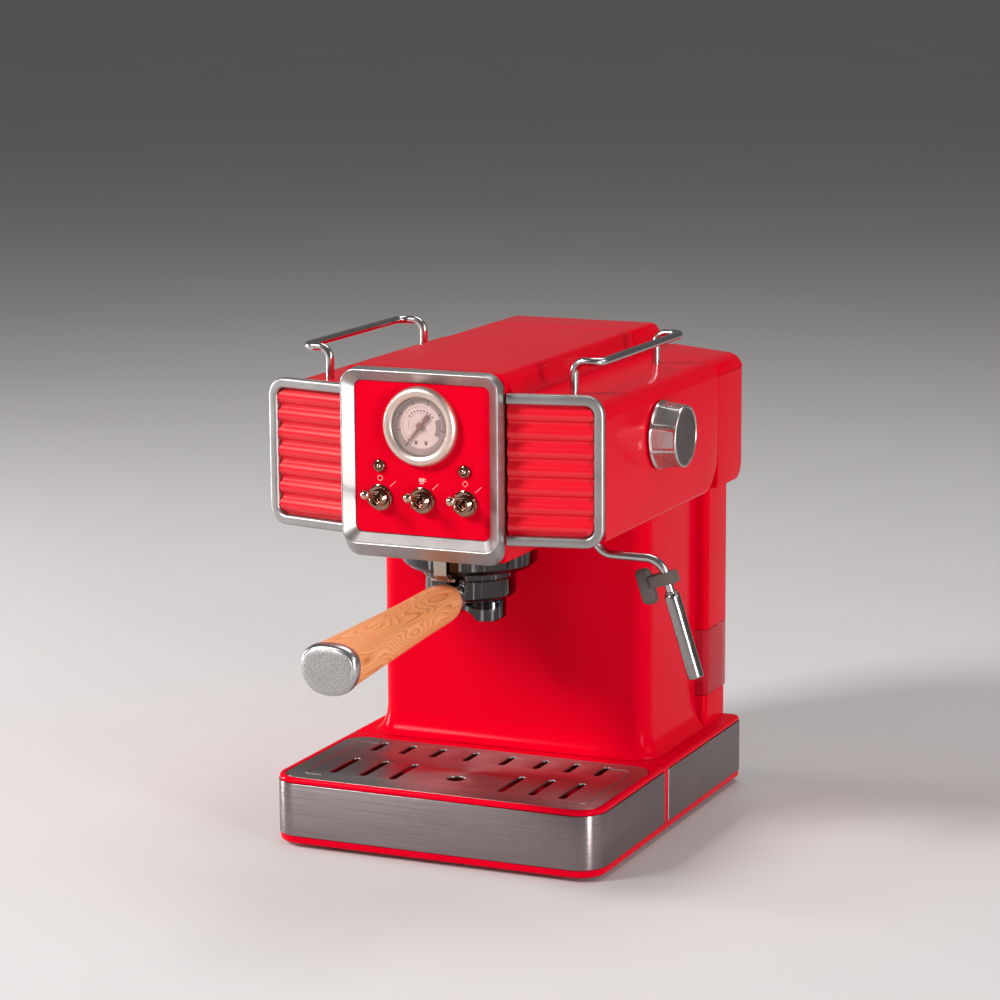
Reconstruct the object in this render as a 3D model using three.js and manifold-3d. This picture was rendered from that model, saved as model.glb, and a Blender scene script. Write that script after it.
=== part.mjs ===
// Espresso machine with a pump, a lever-switch front panel, a pressure gauge, a filter holder with a wooden
// grip, a swivelling steam pipe, a pull-out drip tray and a lift-out water tank with a hinged lid.
// Millimetres. While it is built, +X is the user's right, +Y the back, +Z up, x = 0 is the plane of symmetry of
// the body, y = 0 the middle of the base and z = 0 the surface that it stands on. The last lines move the origin
// to the middle of the box round the whole machine, on that surface.

import * as THREE from 'three';
import { mergeVertices } from 'three/addons/utils/BufferGeometryUtils.js';
import Module from 'manifold-3d';

const wasm = await Module();
wasm.setup();

// ---- driving dimensions ---------------------------------------------------------------------------------

const GAP = 0.3; // between pieces that touch
const WALL = 2.6; // moulded plastic

const BASE = { half: 114, front: -133, rear: 133, cornerFront: 19, cornerRear: 5, underside: 3, top: 46.5 };
const BAND = { low: 8.3, high: 43, thick: 1.2 };
// Where the tray meets the rear base, and the width of the red strips there.
const SPLIT = { tray: -11.2, body: -10.6, strip: 3.6 };
const GRATE = { half: 109, front: -128.3, rear: -19.7, corner: 14.5, thick: 1.5, top: 46.3 };
const SLOT = { width: 5, longLength: 38, longY: -90, shortLength: 22, shortY: -40, fingerRadius: 6.2 };
const LONG_SLOTS = [38, 59, 80];
const SHORT_SLOTS = [13, 37, 59, 80];
const FOOT = { radius: 9, x: 92, yFront: -108, yRear: 104 };

const COLUMN = { half: 96, front: -2, rear: 91, corner: 12, flare: 9, flareHeight: 20 };
const HEAD = {
  half: 114, bottom: 213.6, shoulder: 303, shoulderEdge: 299.5, rear: 80.4, edge: 11, rearCorner: 22,
};
const NOSE = { half: 52, front: -129.5, rear: -14, bottom: 198.3 }; // the head's lower middle, over the group
const CROWN = { half: 54, foot: 65, top: 317, rear: 79.4, edge: 5 }; // the raised middle of the top

const FRAME = {
  half: 53.4, low: 206, high: 316.6, face: -142.8, back: -133, corner: 10, bevel: 7.4, bevelDepth: 5,
};
const CHIN = 7.6; // how far the centre frame's lower bar reaches under its front edge
const PANEL = { face: -137.2, thick: 2.4, corner: 4.6 };
const WING = { inner: 54.6, outer: 113.8, yInner: -130, yOuter: -117.6, low: 210.6, high: 305.2 };
const WING_BAR = { width: 6.5, crest: 4.6, bend: 9 };
const RIBS = { count: 7, foot: 1.4, height: 3.75, corner: 6.5 };

const GAUGE = { z: 282.5, radius: 25, lip: 18.7, seat: 20.2, depth: 24 };
const LAMP = { x: 29, z: 256, radius: 4 };
const SWITCH = {
  xs: [-29, 0, 29], z: 236, pivot: -140.4, reach: 18.6, tilt: 16, nut: 8.2, bushing: 5.6, bore: 3.7,
};
const KNOB = { y: -27.3, z: 267.2, radius: 22, face: 19.6, length: 17.6, flutes: 8 };

const RAIL = { leg: 84, bar: 102, front: -95, rear: 45, z: 322, radius: 2.6, bend: 8, foot: 293 };

const GROUP = { y: -66, ring: 43.5, bore: 31.5, bottom: 182.3, top: 198 };
const HOLDER = { radius: 29.3, bottom: 161.4, top: 189.4, wall: 2.1 };
const SPOUT = { x: 14.2, half: 23.4, depth: 14.5, bottom: 147.6, arch: 7, bore: 4.4 };
const GRIP = { start: -104.5, end: -262, cap: -270.5, z: 165, drop: 0.046 };

const WAND = { x: 98, y: -96, arm: 202.5, pipe: 2.7, swing: 10, bends: [8, 10.5] };
// The pipe's bends and what is on it, as distance out along its arm and height.
const ARM = { elbow: [42, 200.5], end: [52, 167], collar: [48.9, 177.6], clip: [45.9, 188], sleeve: 53.2 };

const TANK = {
  half: 103, front: 93, rear: 132.6, bottom: 67.6, window: 113, corner: 4, wall: 2, valveY: 114,
};
const TANK_TOP = { half: 114, front: 81.2, rear: 133, low: 214, seam: 289.6, corner: 11, rearCorner: 6 };
const LID = { front: 81, hingeY: 83.8, hingeZ: 313, pin: 1, lugX: 38, lug: 3, ear: 2, corner: 9 };
const TAB = { half: 14, reach: 3.5, thick: 2.8 }; // the finger tab at the lid's rear

const PUMP = { x: -44, y: 46, feet: 62, body: 78, head: 116, outlet: 134, top: 146 };
const BOARD = { x0: 20, x1: 84, y: 60, thick: 1.6, low: 70, high: 160 };
// x, z and half size of the parts on the control board
const CHIPS = [[34, 86, 9], [62, 90, 12], [40, 128, 11], [68, 136, 8]];

// ---- materials ------------------------------------------------------------------------------------------

const material = (options) => new THREE.MeshStandardMaterial(options);
const finish = (color, roughness, metalness) => material({ color, roughness, metalness });
const red = finish(0xd8001e, 0.35, 0);
const brushedSteel = finish(0x9a9496, 0.38, 1);
const satinSilver = finish(0xb9b4b2, 0.32, 1);
const chrome = finish(0xd8d8d8, 0.08, 1);
const darkChrome = finish(0x6a6a6e, 0.15, 1);
const goldChrome = finish(0xcdb98f, 0.12, 1);
const champagne = finish(0xd9bfae, 0.3, 1);
const dialSilver = finish(0xd8b5ac, 0.5, 0.3);
const blackPlastic = finish(0x1c1b1c, 0.6, 0);
const greyRubber = finish(0x5c514c, 0.8, 0);
const blackRubber = finish(0x151515, 0.85, 0);
const wood = finish(0xdd8a45, 0.45, 0);
const hammered = finish(0xc4c2c0, 0.5, 1);
const clear = material({ color: 0xe8b0b4, roughness: 0.05, transparent: true, opacity: 0.35 });
const brass = finish(0xb08a45, 0.35, 1);
const boardGreen = finish(0x1f5a34, 0.6, 0);

// ---- shapes ---------------------------------------------------------------------------------------------

const vec = (x, y, z) => new THREE.Vector3(x, y, z);
const rad = THREE.MathUtils.degToRad;

// A rectangle with a radius for each corner, in the order low-left, low-right, high-right, high-left.
function roundedRect(x0, x1, y0, y1, radii) {
  const [a, b, c, d] = Array.isArray(radii) ? radii : [radii, radii, radii, radii];
  const shape = new THREE.Shape();
  shape.moveTo(x0 + a, y0);
  shape.lineTo(x1 - b, y0);
  shape.absarc(x1 - b, y0 + b, b, -Math.PI / 2, 0, false);
  shape.lineTo(x1, y1 - c);
  shape.absarc(x1 - c, y1 - c, c, 0, Math.PI / 2, false);
  shape.lineTo(x0 + d, y1);
  shape.absarc(x0 + d, y1 - d, d, Math.PI / 2, Math.PI, false);
  shape.lineTo(x0, y0 + a);
  shape.absarc(x0 + a, y0 + a, a, Math.PI, Math.PI * 1.5, false);
  return shape;
}

function disc(x, y, radius) {
  const shape = new THREE.Shape();
  shape.absarc(x, y, radius, 0, Math.PI * 2, false);
  return shape;
}

function polygon(points) {
  return new THREE.Shape(points.map(([x, y]) => new THREE.Vector2(x, y)));
}

// A shape pushed up z from one height to another.
function slab(shape, z0, z1, curveSegments = 3) {
  const options = { depth: z1 - z0, bevelEnabled: false, curveSegments };
  return new THREE.ExtrudeGeometry(shape, options).translate(0, 0, z0);
}

// A shape drawn in y, z and pushed along x.
function sideways(shape, x0, x1) {
  const turn = new THREE.Matrix4().makeBasis(vec(0, 1, 0), vec(0, 0, 1), vec(1, 0, 0));
  return slab(shape, x0, x1).applyMatrix4(turn);
}

// A shape drawn in x, z and pushed along y.
function across(shape, y0, y1, curveSegments = 3) {
  return slab(shape, 0, y1 - y0, curveSegments).rotateX(Math.PI / 2).translate(0, y1, 0);
}

function block(x0, x1, y0, y1, z0, z1) {
  const geometry = new THREE.BoxGeometry(x1 - x0, y1 - y0, z1 - z0);
  return geometry.translate((x0 + x1) / 2, (y0 + y1) / 2, (z0 + z1) / 2);
}

// A round bar between two points, with a radius at each end.
function bar(from, to, radius, endRadius = radius, sides = 16) {
  const axis = to.clone().sub(from);
  const geometry = new THREE.CylinderGeometry(endRadius, radius, axis.length(), sides);
  const turn = new THREE.Quaternion().setFromUnitVectors(vec(0, 1, 0), axis.normalize());
  return geometry.applyQuaternion(turn).translate(...from.clone().add(to).multiplyScalar(0.5).toArray());
}

// A profile of [radius, height] points turned about an axis through a point; height runs along the axis.
function turned(profile, centre, axis = vec(0, 0, 1), sides = 20) {
  const points = profile.map(([r, h]) => new THREE.Vector2(r, h));
  const geometry = new THREE.LatheGeometry(points, sides);
  const turn = new THREE.Quaternion().setFromUnitVectors(vec(0, 1, 0), axis.clone().normalize());
  return outward(geometry.applyQuaternion(turn).translate(...centre.toArray()));
}

// Closes a profile that goes round a bore.
const ring = (profile) => [...profile, profile[0]];

// A body through a row of outlines that all have the same number of points. A loop joins the last to the first,
// and otherwise both ends are closed.
function loft(rings, loop = false) {
  const count = rings[0].length;
  const positions = rings.flat().flatMap((p) => p.toArray());
  const index = [];
  const last = loop ? rings.length : rings.length - 1;
  for (let i = 0; i < last; i += 1) {
    const a = i * count;
    const b = ((i + 1) % rings.length) * count;
    for (let j = 0; j < count; j += 1) {
      const k = (j + 1) % count;
      index.push(a + j, a + k, b + k, a + j, b + k, b + j);
    }
  }
  if (!loop) {
    const start = (rings.length - 1) * count;
    for (let j = 1; j < count - 1; j += 1) {
      index.push(0, j + 1, j);
      index.push(start, start + j, start + j + 1);
    }
  }
  const geometry = new THREE.BufferGeometry();
  geometry.setAttribute('position', new THREE.Float32BufferAttribute(positions, 3));
  geometry.setIndex(index);
  return outward(geometry);
}

// The points of a shape as a ring in space.
const outline = (shape, place, segments = 3) => {
  const points = shape.getPoints(segments);
  const open = points.filter((p, i) => i === 0 || p.distanceTo(points[i - 1]) > 1e-3);
  if (open[0].distanceTo(open[open.length - 1]) < 1e-3) open.pop();
  return open.map(place);
};

// Straight runs through the points, rounded off from so far before and after each corner.
function bentPath(points, bends) {
  const path = new THREE.CurvePath();
  let start = points[0];
  for (let i = 1; i < points.length - 1; i += 1) {
    const corner = points[i];
    const reach = bends[i - 1];
    const before = corner.clone().add(start.clone().sub(corner).setLength(reach));
    const after = corner.clone().add(points[i + 1].clone().sub(corner).setLength(reach));
    path.add(new THREE.LineCurve3(start, before));
    path.add(new THREE.QuadraticBezierCurve3(before, corner, after));
    start = after;
  }
  path.add(new THREE.LineCurve3(start, points[points.length - 1]));
  return path;
}

// A round bar along a bent path.
function pipe(points, radius, bends, steps) {
  const options = { steps, extrudePath: bentPath(points, bends), curveSegments: 3 };
  return new THREE.ExtrudeGeometry(disc(0, 0, radius), options);
}

// ---- solids ---------------------------------------------------------------------------------------------

function welded(geometry) {
  const bare = geometry.clone();
  bare.deleteAttribute('normal');
  bare.deleteAttribute('uv');
  return mergeVertices(bare, 1e-4);
}

// Turns every face round when they point into the body.
function outward(geometry) {
  const body = welded(geometry);
  const [p, index] = [body.attributes.position, body.index.array];
  const [a, b, c] = [vec(), vec(), vec()];
  let volume = 0;
  for (let i = 0; i < index.length; i += 3) {
    a.fromBufferAttribute(p, index[i]);
    b.fromBufferAttribute(p, index[i + 1]);
    c.fromBufferAttribute(p, index[i + 2]);
    volume += a.dot(b.cross(c));
  }
  if (volume < 0) {
    for (let i = 0; i < index.length; i += 3) [index[i], index[i + 1]] = [index[i + 1], index[i]];
  }
  return body;
}

function toSolid(geometry) {
  const body = outward(geometry);
  const vertProperties = new Float32Array(body.attributes.position.array);
  const triVerts = new Uint32Array(body.index.array);
  return new wasm.Manifold(new wasm.Mesh({ numProp: 3, vertProperties, triVerts }));
}

function toGeometry(solid) {
  const mesh = solid.getMesh();
  const geometry = new THREE.BufferGeometry();
  geometry.setAttribute('position', new THREE.BufferAttribute(new Float32Array(mesh.vertProperties), 3));
  geometry.setIndex(new THREE.BufferAttribute(new Uint32Array(mesh.triVerts), 1));
  return geometry;
}

// Each folds a list of bodies into the first one.
const combine = (operation) => (body, ...others) => toGeometry(
  others.reduce((sum, other) => sum[operation](toSolid(other)), toSolid(body)),
);
const cut = combine('subtract');
const join = combine('add');
const common = combine('intersect');

const machine = new THREE.Group();

function add(name, geometry, material) {
  const body = outward(geometry);
  body.computeVertexNormals();
  const mesh = new THREE.Mesh(body, material);
  mesh.name = name;
  machine.add(mesh);
}

// ---- base and drip tray ---------------------------------------------------------------------------------

function baseParts() {
  const { half, front, rear, cornerFront: rf, cornerRear: rr, underside, top } = BASE;
  const inset = BAND.thick + GAP;
  const corners = (d) => [rf - d, rf - d, rr - d / 2, rr - d / 2];
  const full = (d) => roundedRect(-half + d, half - d, front + d, rear - d, corners(d));
  const rearPlan = (d, y0) => roundedRect(-half + d, half - d, y0, rear - d, [1, 1, rr - d / 2, rr - d / 2]);
  const seat = roundedRect(-TANK.half + 1, TANK.half - 1, TANK.front + 0.5, TANK.rear - 0.5, TANK.corner);
  const gland = bar(vec(-84, rear - 20, 25), vec(-84, rear + 5, 25), 7);

  const outer = join(
    slab(full(0.5), underside, 7.9),
    slab(rearPlan(inset, SPLIT.body), 7, 44),
    slab(rearPlan(0.5, SPLIT.body), BAND.high + GAP, top),
    slab(roundedRect(-half + 0.5, half - 0.5, SPLIT.body, SPLIT.body + SPLIT.strip - GAP, 1), 7, 44),
    slab(seat, top - 1, TANK.bottom - GAP),
  );
  add('base_shell', cut(
    outer,
    block(-108, 108, 0, 126, underside - 1, top - WALL),
    block(-80, 80, 12, 80, underside, top + 1),
    bar(vec(0, TANK.valveY, top - 6), vec(0, TANK.valveY, TANK.bottom + 1), 9),
    gland,
  ), red);
  const floor = roundedRect(-107.7, 107.7, 0.3, 125.7, 2);
  add('bottom_plate', slab(floor, underside, underside + 2), blackPlastic);

  const bandInner = (y0) => slab(rearPlan(BAND.thick, y0), 0, 60);
  const bandOuter = slab(rearPlan(0, SPLIT.body + SPLIT.strip), BAND.low, BAND.high);
  add('base_band', cut(bandOuter, bandInner(-40), gland), brushedSteel);

  const grommet = [[3.6, -12], [6.7, -12], [6.7, 0.2], [9.5, 0.2], [9.5, 1.8], [6.2, 4], [3.6, 4]];
  add('cord_gland', turned(ring(grommet), vec(-84, rear + 0.1, 25), vec(0, 1, 0), 16), blackRubber);

  for (const [side, sx] of [['left', -1], ['right', 1]]) {
    for (const [end, y] of [['front', FOOT.yFront], ['rear', FOOT.yRear]]) {
      const profile = [[0, 0], [FOOT.radius - 1, 0], [FOOT.radius, 1], [FOOT.radius, 2.7], [0, 2.7]];
      add(`foot_${end}_${side}`, turned(profile, vec(sx * FOOT.x, y, 0), undefined, 14), blackRubber);
    }
  }
}

function trayParts() {
  const { half, front, cornerFront: rf, top } = BASE;
  const inset = BAND.thick + GAP;
  const plan = (d, y1) => roundedRect(-half + d, half - d, front + d, y1, [rf - d, rf - d, 1, 1]);
  const recess = 0.4;
  const grate = (d) => roundedRect(
    -GRATE.half - d, GRATE.half + d, GRATE.front - d, GRATE.rear + d, GRATE.corner + d,
  );
  const body = join(
    slab(plan(inset, SPLIT.tray), 8.2, 44),
    slab(plan(0.5, SPLIT.tray), BAND.high + GAP, top),
    slab(roundedRect(-half + 0.5, half - 0.5, SPLIT.tray - SPLIT.strip + GAP, SPLIT.tray, 1), 8.2, 44),
  );
  add('drip_tray', cut(
    body,
    slab(roundedRect(-104, 104, -124, -25, 12), 11, top + 1),
    slab(grate(recess), GRATE.top - GRATE.thick - GAP, top + 1),
  ), red);

  const bandOuter = slab(plan(0, SPLIT.tray - SPLIT.strip), BAND.low, BAND.high);
  add('drip_tray_band', cut(bandOuter, slab(plan(BAND.thick, 20), 0, 60)), brushedSteel);

  const plate = grate(0);
  const slotHalf = SLOT.width / 2;
  const slot = (x, y, length) => (
    roundedRect(x - slotHalf, x + slotHalf, y - length / 2, y + length / 2, slotHalf - 0.01)
  );
  for (const sign of [-1, 1]) {
    for (const x of LONG_SLOTS) plate.holes.push(slot(sign * x, SLOT.longY, SLOT.longLength));
    for (const x of SHORT_SLOTS) plate.holes.push(slot(sign * x, SLOT.shortY, SLOT.shortLength));
  }
  plate.holes.push(disc(0, SLOT.longY - 1.5, SLOT.fingerRadius));
  add('drip_grate', slab(plate, GRATE.top - GRATE.thick, GRATE.top, 1), brushedSteel);
}

// ---- column and head ------------------------------------------------------------------------------------

function columnPart() {
  const { half, front, rear, corner, flare, flareHeight } = COLUMN;
  const foot = BASE.top + GAP;
  const plan = (d, z) => outline(
    roundedRect(-half - d, half + d, front - d, rear, [corner + d, corner + d, 3, 3]),
    (p) => vec(p.x, p.y, z),
  );
  const rings = [];
  for (let i = 0; i <= 5; i += 1) {
    const turn = (i / 5) * (Math.PI / 2);
    rings.push(plan(flare * (1 - Math.sin(turn)), foot + flareHeight * (1 - Math.cos(turn))));
  }
  rings.push(plan(0, HEAD.bottom - GAP));
  add('column_shell', cut(loft(rings), block(-half + 3, half - 3, front + 3.5, rear - 3, 0, 300)), red);
}

// The head's section seen from the front, with its shoulders falling a little to the sides.
function headSection(d) {
  const { half, bottom, shoulder, shoulderEdge, edge } = HEAD;
  const x = half - d;
  const shape = new THREE.Shape();
  shape.moveTo(-x + 3.5, bottom + d);
  shape.lineTo(x - 3.5, bottom + d);
  shape.quadraticCurveTo(x, bottom + d, x, bottom + d + 3.5);
  shape.lineTo(x, shoulderEdge - edge);
  shape.quadraticCurveTo(x, shoulderEdge - d, x - edge, shoulderEdge - d);
  shape.lineTo(CROWN.foot + 3, shoulder - d);
  shape.lineTo(-CROWN.foot - 3, shoulder - d);
  shape.lineTo(-x + edge, shoulderEdge - d);
  shape.quadraticCurveTo(-x, shoulderEdge - d, -x, shoulderEdge - edge);
  shape.lineTo(-x, bottom + d + 3.5);
  shape.quadraticCurveTo(-x, bottom + d, -x + 3.5, bottom + d);
  return shape;
}

function headSolid(d) {
  const back = d + GAP;
  const plan = polygon([
    [-HEAD.half, HEAD.rear - d], [-HEAD.half, WING.yOuter + back], [-WING.inner, WING.yInner + back],
    [WING.inner, WING.yInner + back], [HEAD.half, WING.yOuter + back], [HEAD.half, HEAD.rear - d],
  ]);
  const side = roundedRect(-150, HEAD.rear - d, HEAD.bottom + d, 320, [1, HEAD.rearCorner - d, 1, 1]);
  return common(across(headSection(d), -150, 100), slab(plan, 150, 350), sideways(side, -120, 120));
}

function headParts() {
  const { half, front, rear, bottom } = NOSE;
  const nosePlan = (d) => roundedRect(-half + d, half - d, front + d, rear - d, [2, 2, 14 - d, 14 - d]);
  const nose = slab(nosePlan(0), bottom, 216);
  const noseHollow = slab(nosePlan(3), bottom + 3, 220);
  const legs = [-1, 1].flatMap((s) => [RAIL.front, RAIL.rear].map(
    (y) => bar(vec(s * RAIL.leg, y, 285), vec(s * RAIL.leg, y, 310), RAIL.radius + GAP, undefined, 12),
  ));
  add('head_shell', cut(
    join(headSolid(0), nose),
    headSolid(WALL),
    noseHollow,
    block(-88, 88, 6, 74, 200, 220), // over the column
    across(roundedRect(-44, 44, 222, 302, 4), -140, -100), // behind the front panel
    block(-46, 46, -118, 66, 296, 320), // under the crown
    bar(vec(0, GROUP.y, 190), vec(0, GROUP.y, 205), 14),
    bar(vec(WAND.x, WAND.y, 200), vec(WAND.x, WAND.y, 220), 6.5),
    bar(vec(100, KNOB.y, KNOB.z), vec(120, KNOB.y, KNOB.z), 5),
    ...legs,
  ), red);

  const wing = WING.yInner + 2.8;
  add('crown_cover', cut(
    across(crownSection(0), FRAME.back + GAP, CROWN.rear),
    across(crownSection(2), FRAME.back + 3, CROWN.rear - 2),
    block(-80, -CROWN.half, FRAME.back, wing, 300, 320),
    block(CROWN.half, 80, FRAME.back, wing, 300, 320),
  ), red);
}

// The crown seen from the front: a hollow curve up from the shoulder, then a small round edge.
function crownSection(d) {
  const { half, foot, top, edge } = CROWN;
  const low = HEAD.shoulder + GAP - (d > 0 ? 5 : 0);
  const x = half - d;
  const shape = new THREE.Shape();
  shape.moveTo(-foot + d * 2, low);
  shape.lineTo(foot - d * 2, low);
  shape.quadraticCurveTo(x + 1, low + 1, x, top - edge - d);
  shape.quadraticCurveTo(x - 0.5, top - d, x - edge, top - d);
  shape.lineTo(-x + edge, top - d);
  shape.quadraticCurveTo(-x + 0.5, top - d, -x, top - edge - d);
  shape.quadraticCurveTo(-x - 1, low + 1, -foot + d * 2, low);
  return shape;
}

// ---- front ----------------------------------------------------------------------------------------------

function centreFrame() {
  const { half, low, high, face, back, corner, bevel, bevelDepth } = FRAME;
  const at = (y, grow, drop, r) => outline(
    roundedRect(-half - grow, half + grow, low - grow - drop, high + grow, r),
    (p) => vec(p.x, y, p.y),
    4,
  );
  const inner = PANEL.corner + 0.3;
  add('centre_frame', loft([
    at(back, -bevel, 0, inner),
    at(face + bevelDepth, -bevel, 0, inner),
    at(face + 0.6, -1.3, 0, corner - 1.3),
    at(face, -0.6, 0, corner - 0.6),
    at(face + 0.5, 0, 0, corner),
    at(face + 3, 0.5, CHIN * 0.45, corner + 0.5),
    at(back - 1.5, 0.8, CHIN, corner + 0.8),
    at(back, 0.4, CHIN - 0.6, corner + 0.4),
  ], true), satinSilver);
}

function controlPanel() {
  const { half, low, high, bevel } = FRAME;
  const edge = bevel + GAP;
  const plate = roundedRect(-half + edge, half - edge, low + edge, high - edge, PANEL.corner);
  plate.holes.push(disc(0, GAUGE.z, 20.4));
  for (const sign of [-1, 1]) plate.holes.push(disc(sign * LAMP.x, LAMP.z, 2.9));
  for (const x of SWITCH.xs) plate.holes.push(disc(x, SWITCH.z, SWITCH.bushing + GAP));
  add('control_panel', across(plate, PANEL.face, PANEL.face + PANEL.thick, 6), red);
}

// A half-round bar's section, with its flat back on the path.
function barSection(middle, crest) {
  const section = new THREE.Shape();
  section.moveTo(0, -middle);
  section.lineTo(0, middle);
  section.quadraticCurveTo(-crest * 0.9, middle, -crest, 0);
  section.quadraticCurveTo(-crest * 0.9, -middle, 0, -middle);
  return section;
}

// A ribbed panel's section from bottom to top, drawn in its thickness and height.
function ribSection(bottom, top) {
  const { count, foot, height } = RIBS;
  const pitch = (top - bottom) / count;
  const ribs = new THREE.Shape();
  ribs.moveTo(0, top);
  ribs.lineTo(0, bottom);
  ribs.lineTo(foot, bottom);
  for (let i = 0; i < count; i += 1) {
    const z = bottom + i * pitch;
    ribs.lineTo(foot, z + pitch * 0.12);
    ribs.quadraticCurveTo(height, z + pitch * 0.5, foot, z + pitch * 0.88);
    ribs.lineTo(foot, z + pitch);
  }
  return ribs;
}

// The swept-back wings beside the centre frame. u runs outward along the wing, w forward out of it.
function wings() {
  const angle = Math.atan2(WING.yOuter - WING.yInner, WING.outer - WING.inner);
  const width = (WING.outer - WING.inner) / Math.cos(angle);
  const height = WING.high - WING.low;
  const middle = WING_BAR.width / 2;
  const end = width - WING_BAR.width - GAP;
  const [bottom, top] = [WING_BAR.width + GAP, height - WING_BAR.width - GAP];
  const upright = new THREE.Matrix4().makeBasis(vec(0, 0, 1), vec(0, 1, 0), vec(1, 0, 0));

  for (const [side, sign] of [['left', -1], ['right', 1]]) {
    const place = (geometry) => {
      geometry.rotateX(Math.PI / 2).rotateZ(angle).translate(WING.inner, WING.yInner, WING.low);
      return geometry.scale(sign, 1, 1);
    };
    const corners = [
      vec(0, height - middle, 0), vec(width - middle, height - middle, 0), vec(width - middle, middle, 0),
      vec(0, middle, 0),
    ];
    const track = bentPath(corners, [WING_BAR.bend, WING_BAR.bend]);
    const section = barSection(middle, WING_BAR.crest);
    const frame = new THREE.ExtrudeGeometry(section, { steps: 30, extrudePath: track, curveSegments: 3 });
    add(`side_frame_${side}`, place(frame), satinSilver);

    const sheet = slab(ribSection(bottom, top), 0.2, end, 5).applyMatrix4(upright);
    const opening = slab(roundedRect(-5, end, bottom, top, [1, RIBS.corner, RIBS.corner, 1]), -5, 5);
    add(`rib_panel_${side}`, place(common(sheet, opening)), red);
  }
}

function gaugeParts() {
  const forward = vec(0, -1, 0);
  const at = (y) => vec(0, y, GAUGE.z);
  const { radius, lip, seat, depth } = GAUGE;
  const front = PANEL.face - GAP;
  add('gauge_bezel', turned(ring([
    [seat, 0], [radius, 0], [radius, 3.2], [radius - 1.2, 5], [radius - 3, 5.8], [lip + 1, 5.6], [lip, 4.8],
    [seat, 4.6],
  ]), at(front), forward, 24), champagne);
  add('gauge_case', turned([
    [0, -depth], [19, -depth], [19, -0.1], [17.6, -0.1], [17.6, -depth + 2], [0, -depth + 2],
  ], at(front), forward, 20), blackPlastic);
  const edge = seat - 0.4;
  const dial = [[1.3, 0.3], [edge, 0.3], [edge, 1.1], [1.3, 1.1]];
  add('gauge_dial', turned(ring(dial), at(front), forward, 24), dialSilver);
  add('gauge_lens', turned([[0, 3.6], [edge, 3.6], [edge, 4.3], [0, 4.3]], at(front), forward, 24), clear);

  const hubProfile = [[0, -3], [1, -3], [1, 1.5], [2.4, 1.5], [2.4, 2.6], [1.6, 3.1], [0, 3.1]];
  const hub = turned(hubProfile, at(front), forward, 16);
  const hand = polygon([[-1, 5], [-0.75, -10.5], [0.75, -10.5], [1, 5], [2.4, 8], [-2.4, 8]]);
  const pointer = across(hand, -2.5, -1.8);
  const zero = rad(-39);
  pointer.rotateY(-zero).translate(0, front, GAUGE.z);
  add('gauge_needle', join(hub, pointer), blackPlastic);
}

function lampsAndSwitches() {
  const forward = vec(0, -1, 0);
  const front = PANEL.face - GAP;
  for (const [side, sign] of [['left', -1], ['right', 1]]) {
    const r = LAMP.radius;
    add(`lamp_${side}`, turned([
      [0, -12], [2.6, -12], [2.6, 0], [r, 0], [r, 1], [r - 0.8, 1.9], [2.3, 1.9], [1.7, 3], [0, 3.4],
    ], vec(sign * LAMP.x, front, LAMP.z), forward, 14), chrome);
  }
  const names = ['left', 'middle', 'right'];
  SWITCH.xs.forEach((x, i) => {
    const nut = new THREE.Shape();
    for (let k = 0; k < 6; k += 1) {
      const a = rad(60 * k + 30);
      const [u, v] = [x + SWITCH.nut * Math.cos(a), SWITCH.z + SWITCH.nut * Math.sin(a)];
      if (k === 0) nut.moveTo(u, v);
      else nut.lineTo(u, v);
    }
    const centre = vec(x, front, SWITCH.z);
    const bushing = turned([
      [0, -8], [SWITCH.bushing, -8], [SWITCH.bushing, 6], [SWITCH.bushing - 0.6, 7], [0, 7],
    ], centre, forward, 12);
    const behind = PANEL.face + PANEL.thick + GAP;
    const housing = block(x - 6.5, x + 6.5, behind, behind + 18, SWITCH.z - 10, SWITCH.z + 10);
    add(`toggle_switch_${names[i]}`, cut(
      join(across(nut, front - 2.8, front), bushing, housing),
      bar(vec(x, behind + 8, SWITCH.z), vec(x, front - 12, SWITCH.z), SWITCH.bore, undefined, 8),
    ), goldChrome);

    const tilt = rad(SWITCH.tilt);
    const along = (d) => vec(x, SWITCH.pivot - d * Math.cos(tilt), SWITCH.z + d * Math.sin(tilt));
    const lever = [[0, -4], [1.2, -4], [1.2, -2], [2.2, -1], [2.2, 0.8], [1.4, 2], [1.5, SWITCH.reach - 5]];
    for (let k = 1; k <= 5; k += 1) {
      const a = rad(-60 + k * 30);
      lever.push([Math.max(0, 3.1 * Math.cos(a)), SWITCH.reach + 3.1 * Math.sin(a)]);
    }
    lever[lever.length - 1][0] = 0;
    add(`toggle_lever_${names[i]}`, turned(lever, along(0), along(1).sub(along(0)), 10), goldChrome);
  });
}

// ---- steam knob, valve and pipe -------------------------------------------------------------------------

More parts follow.
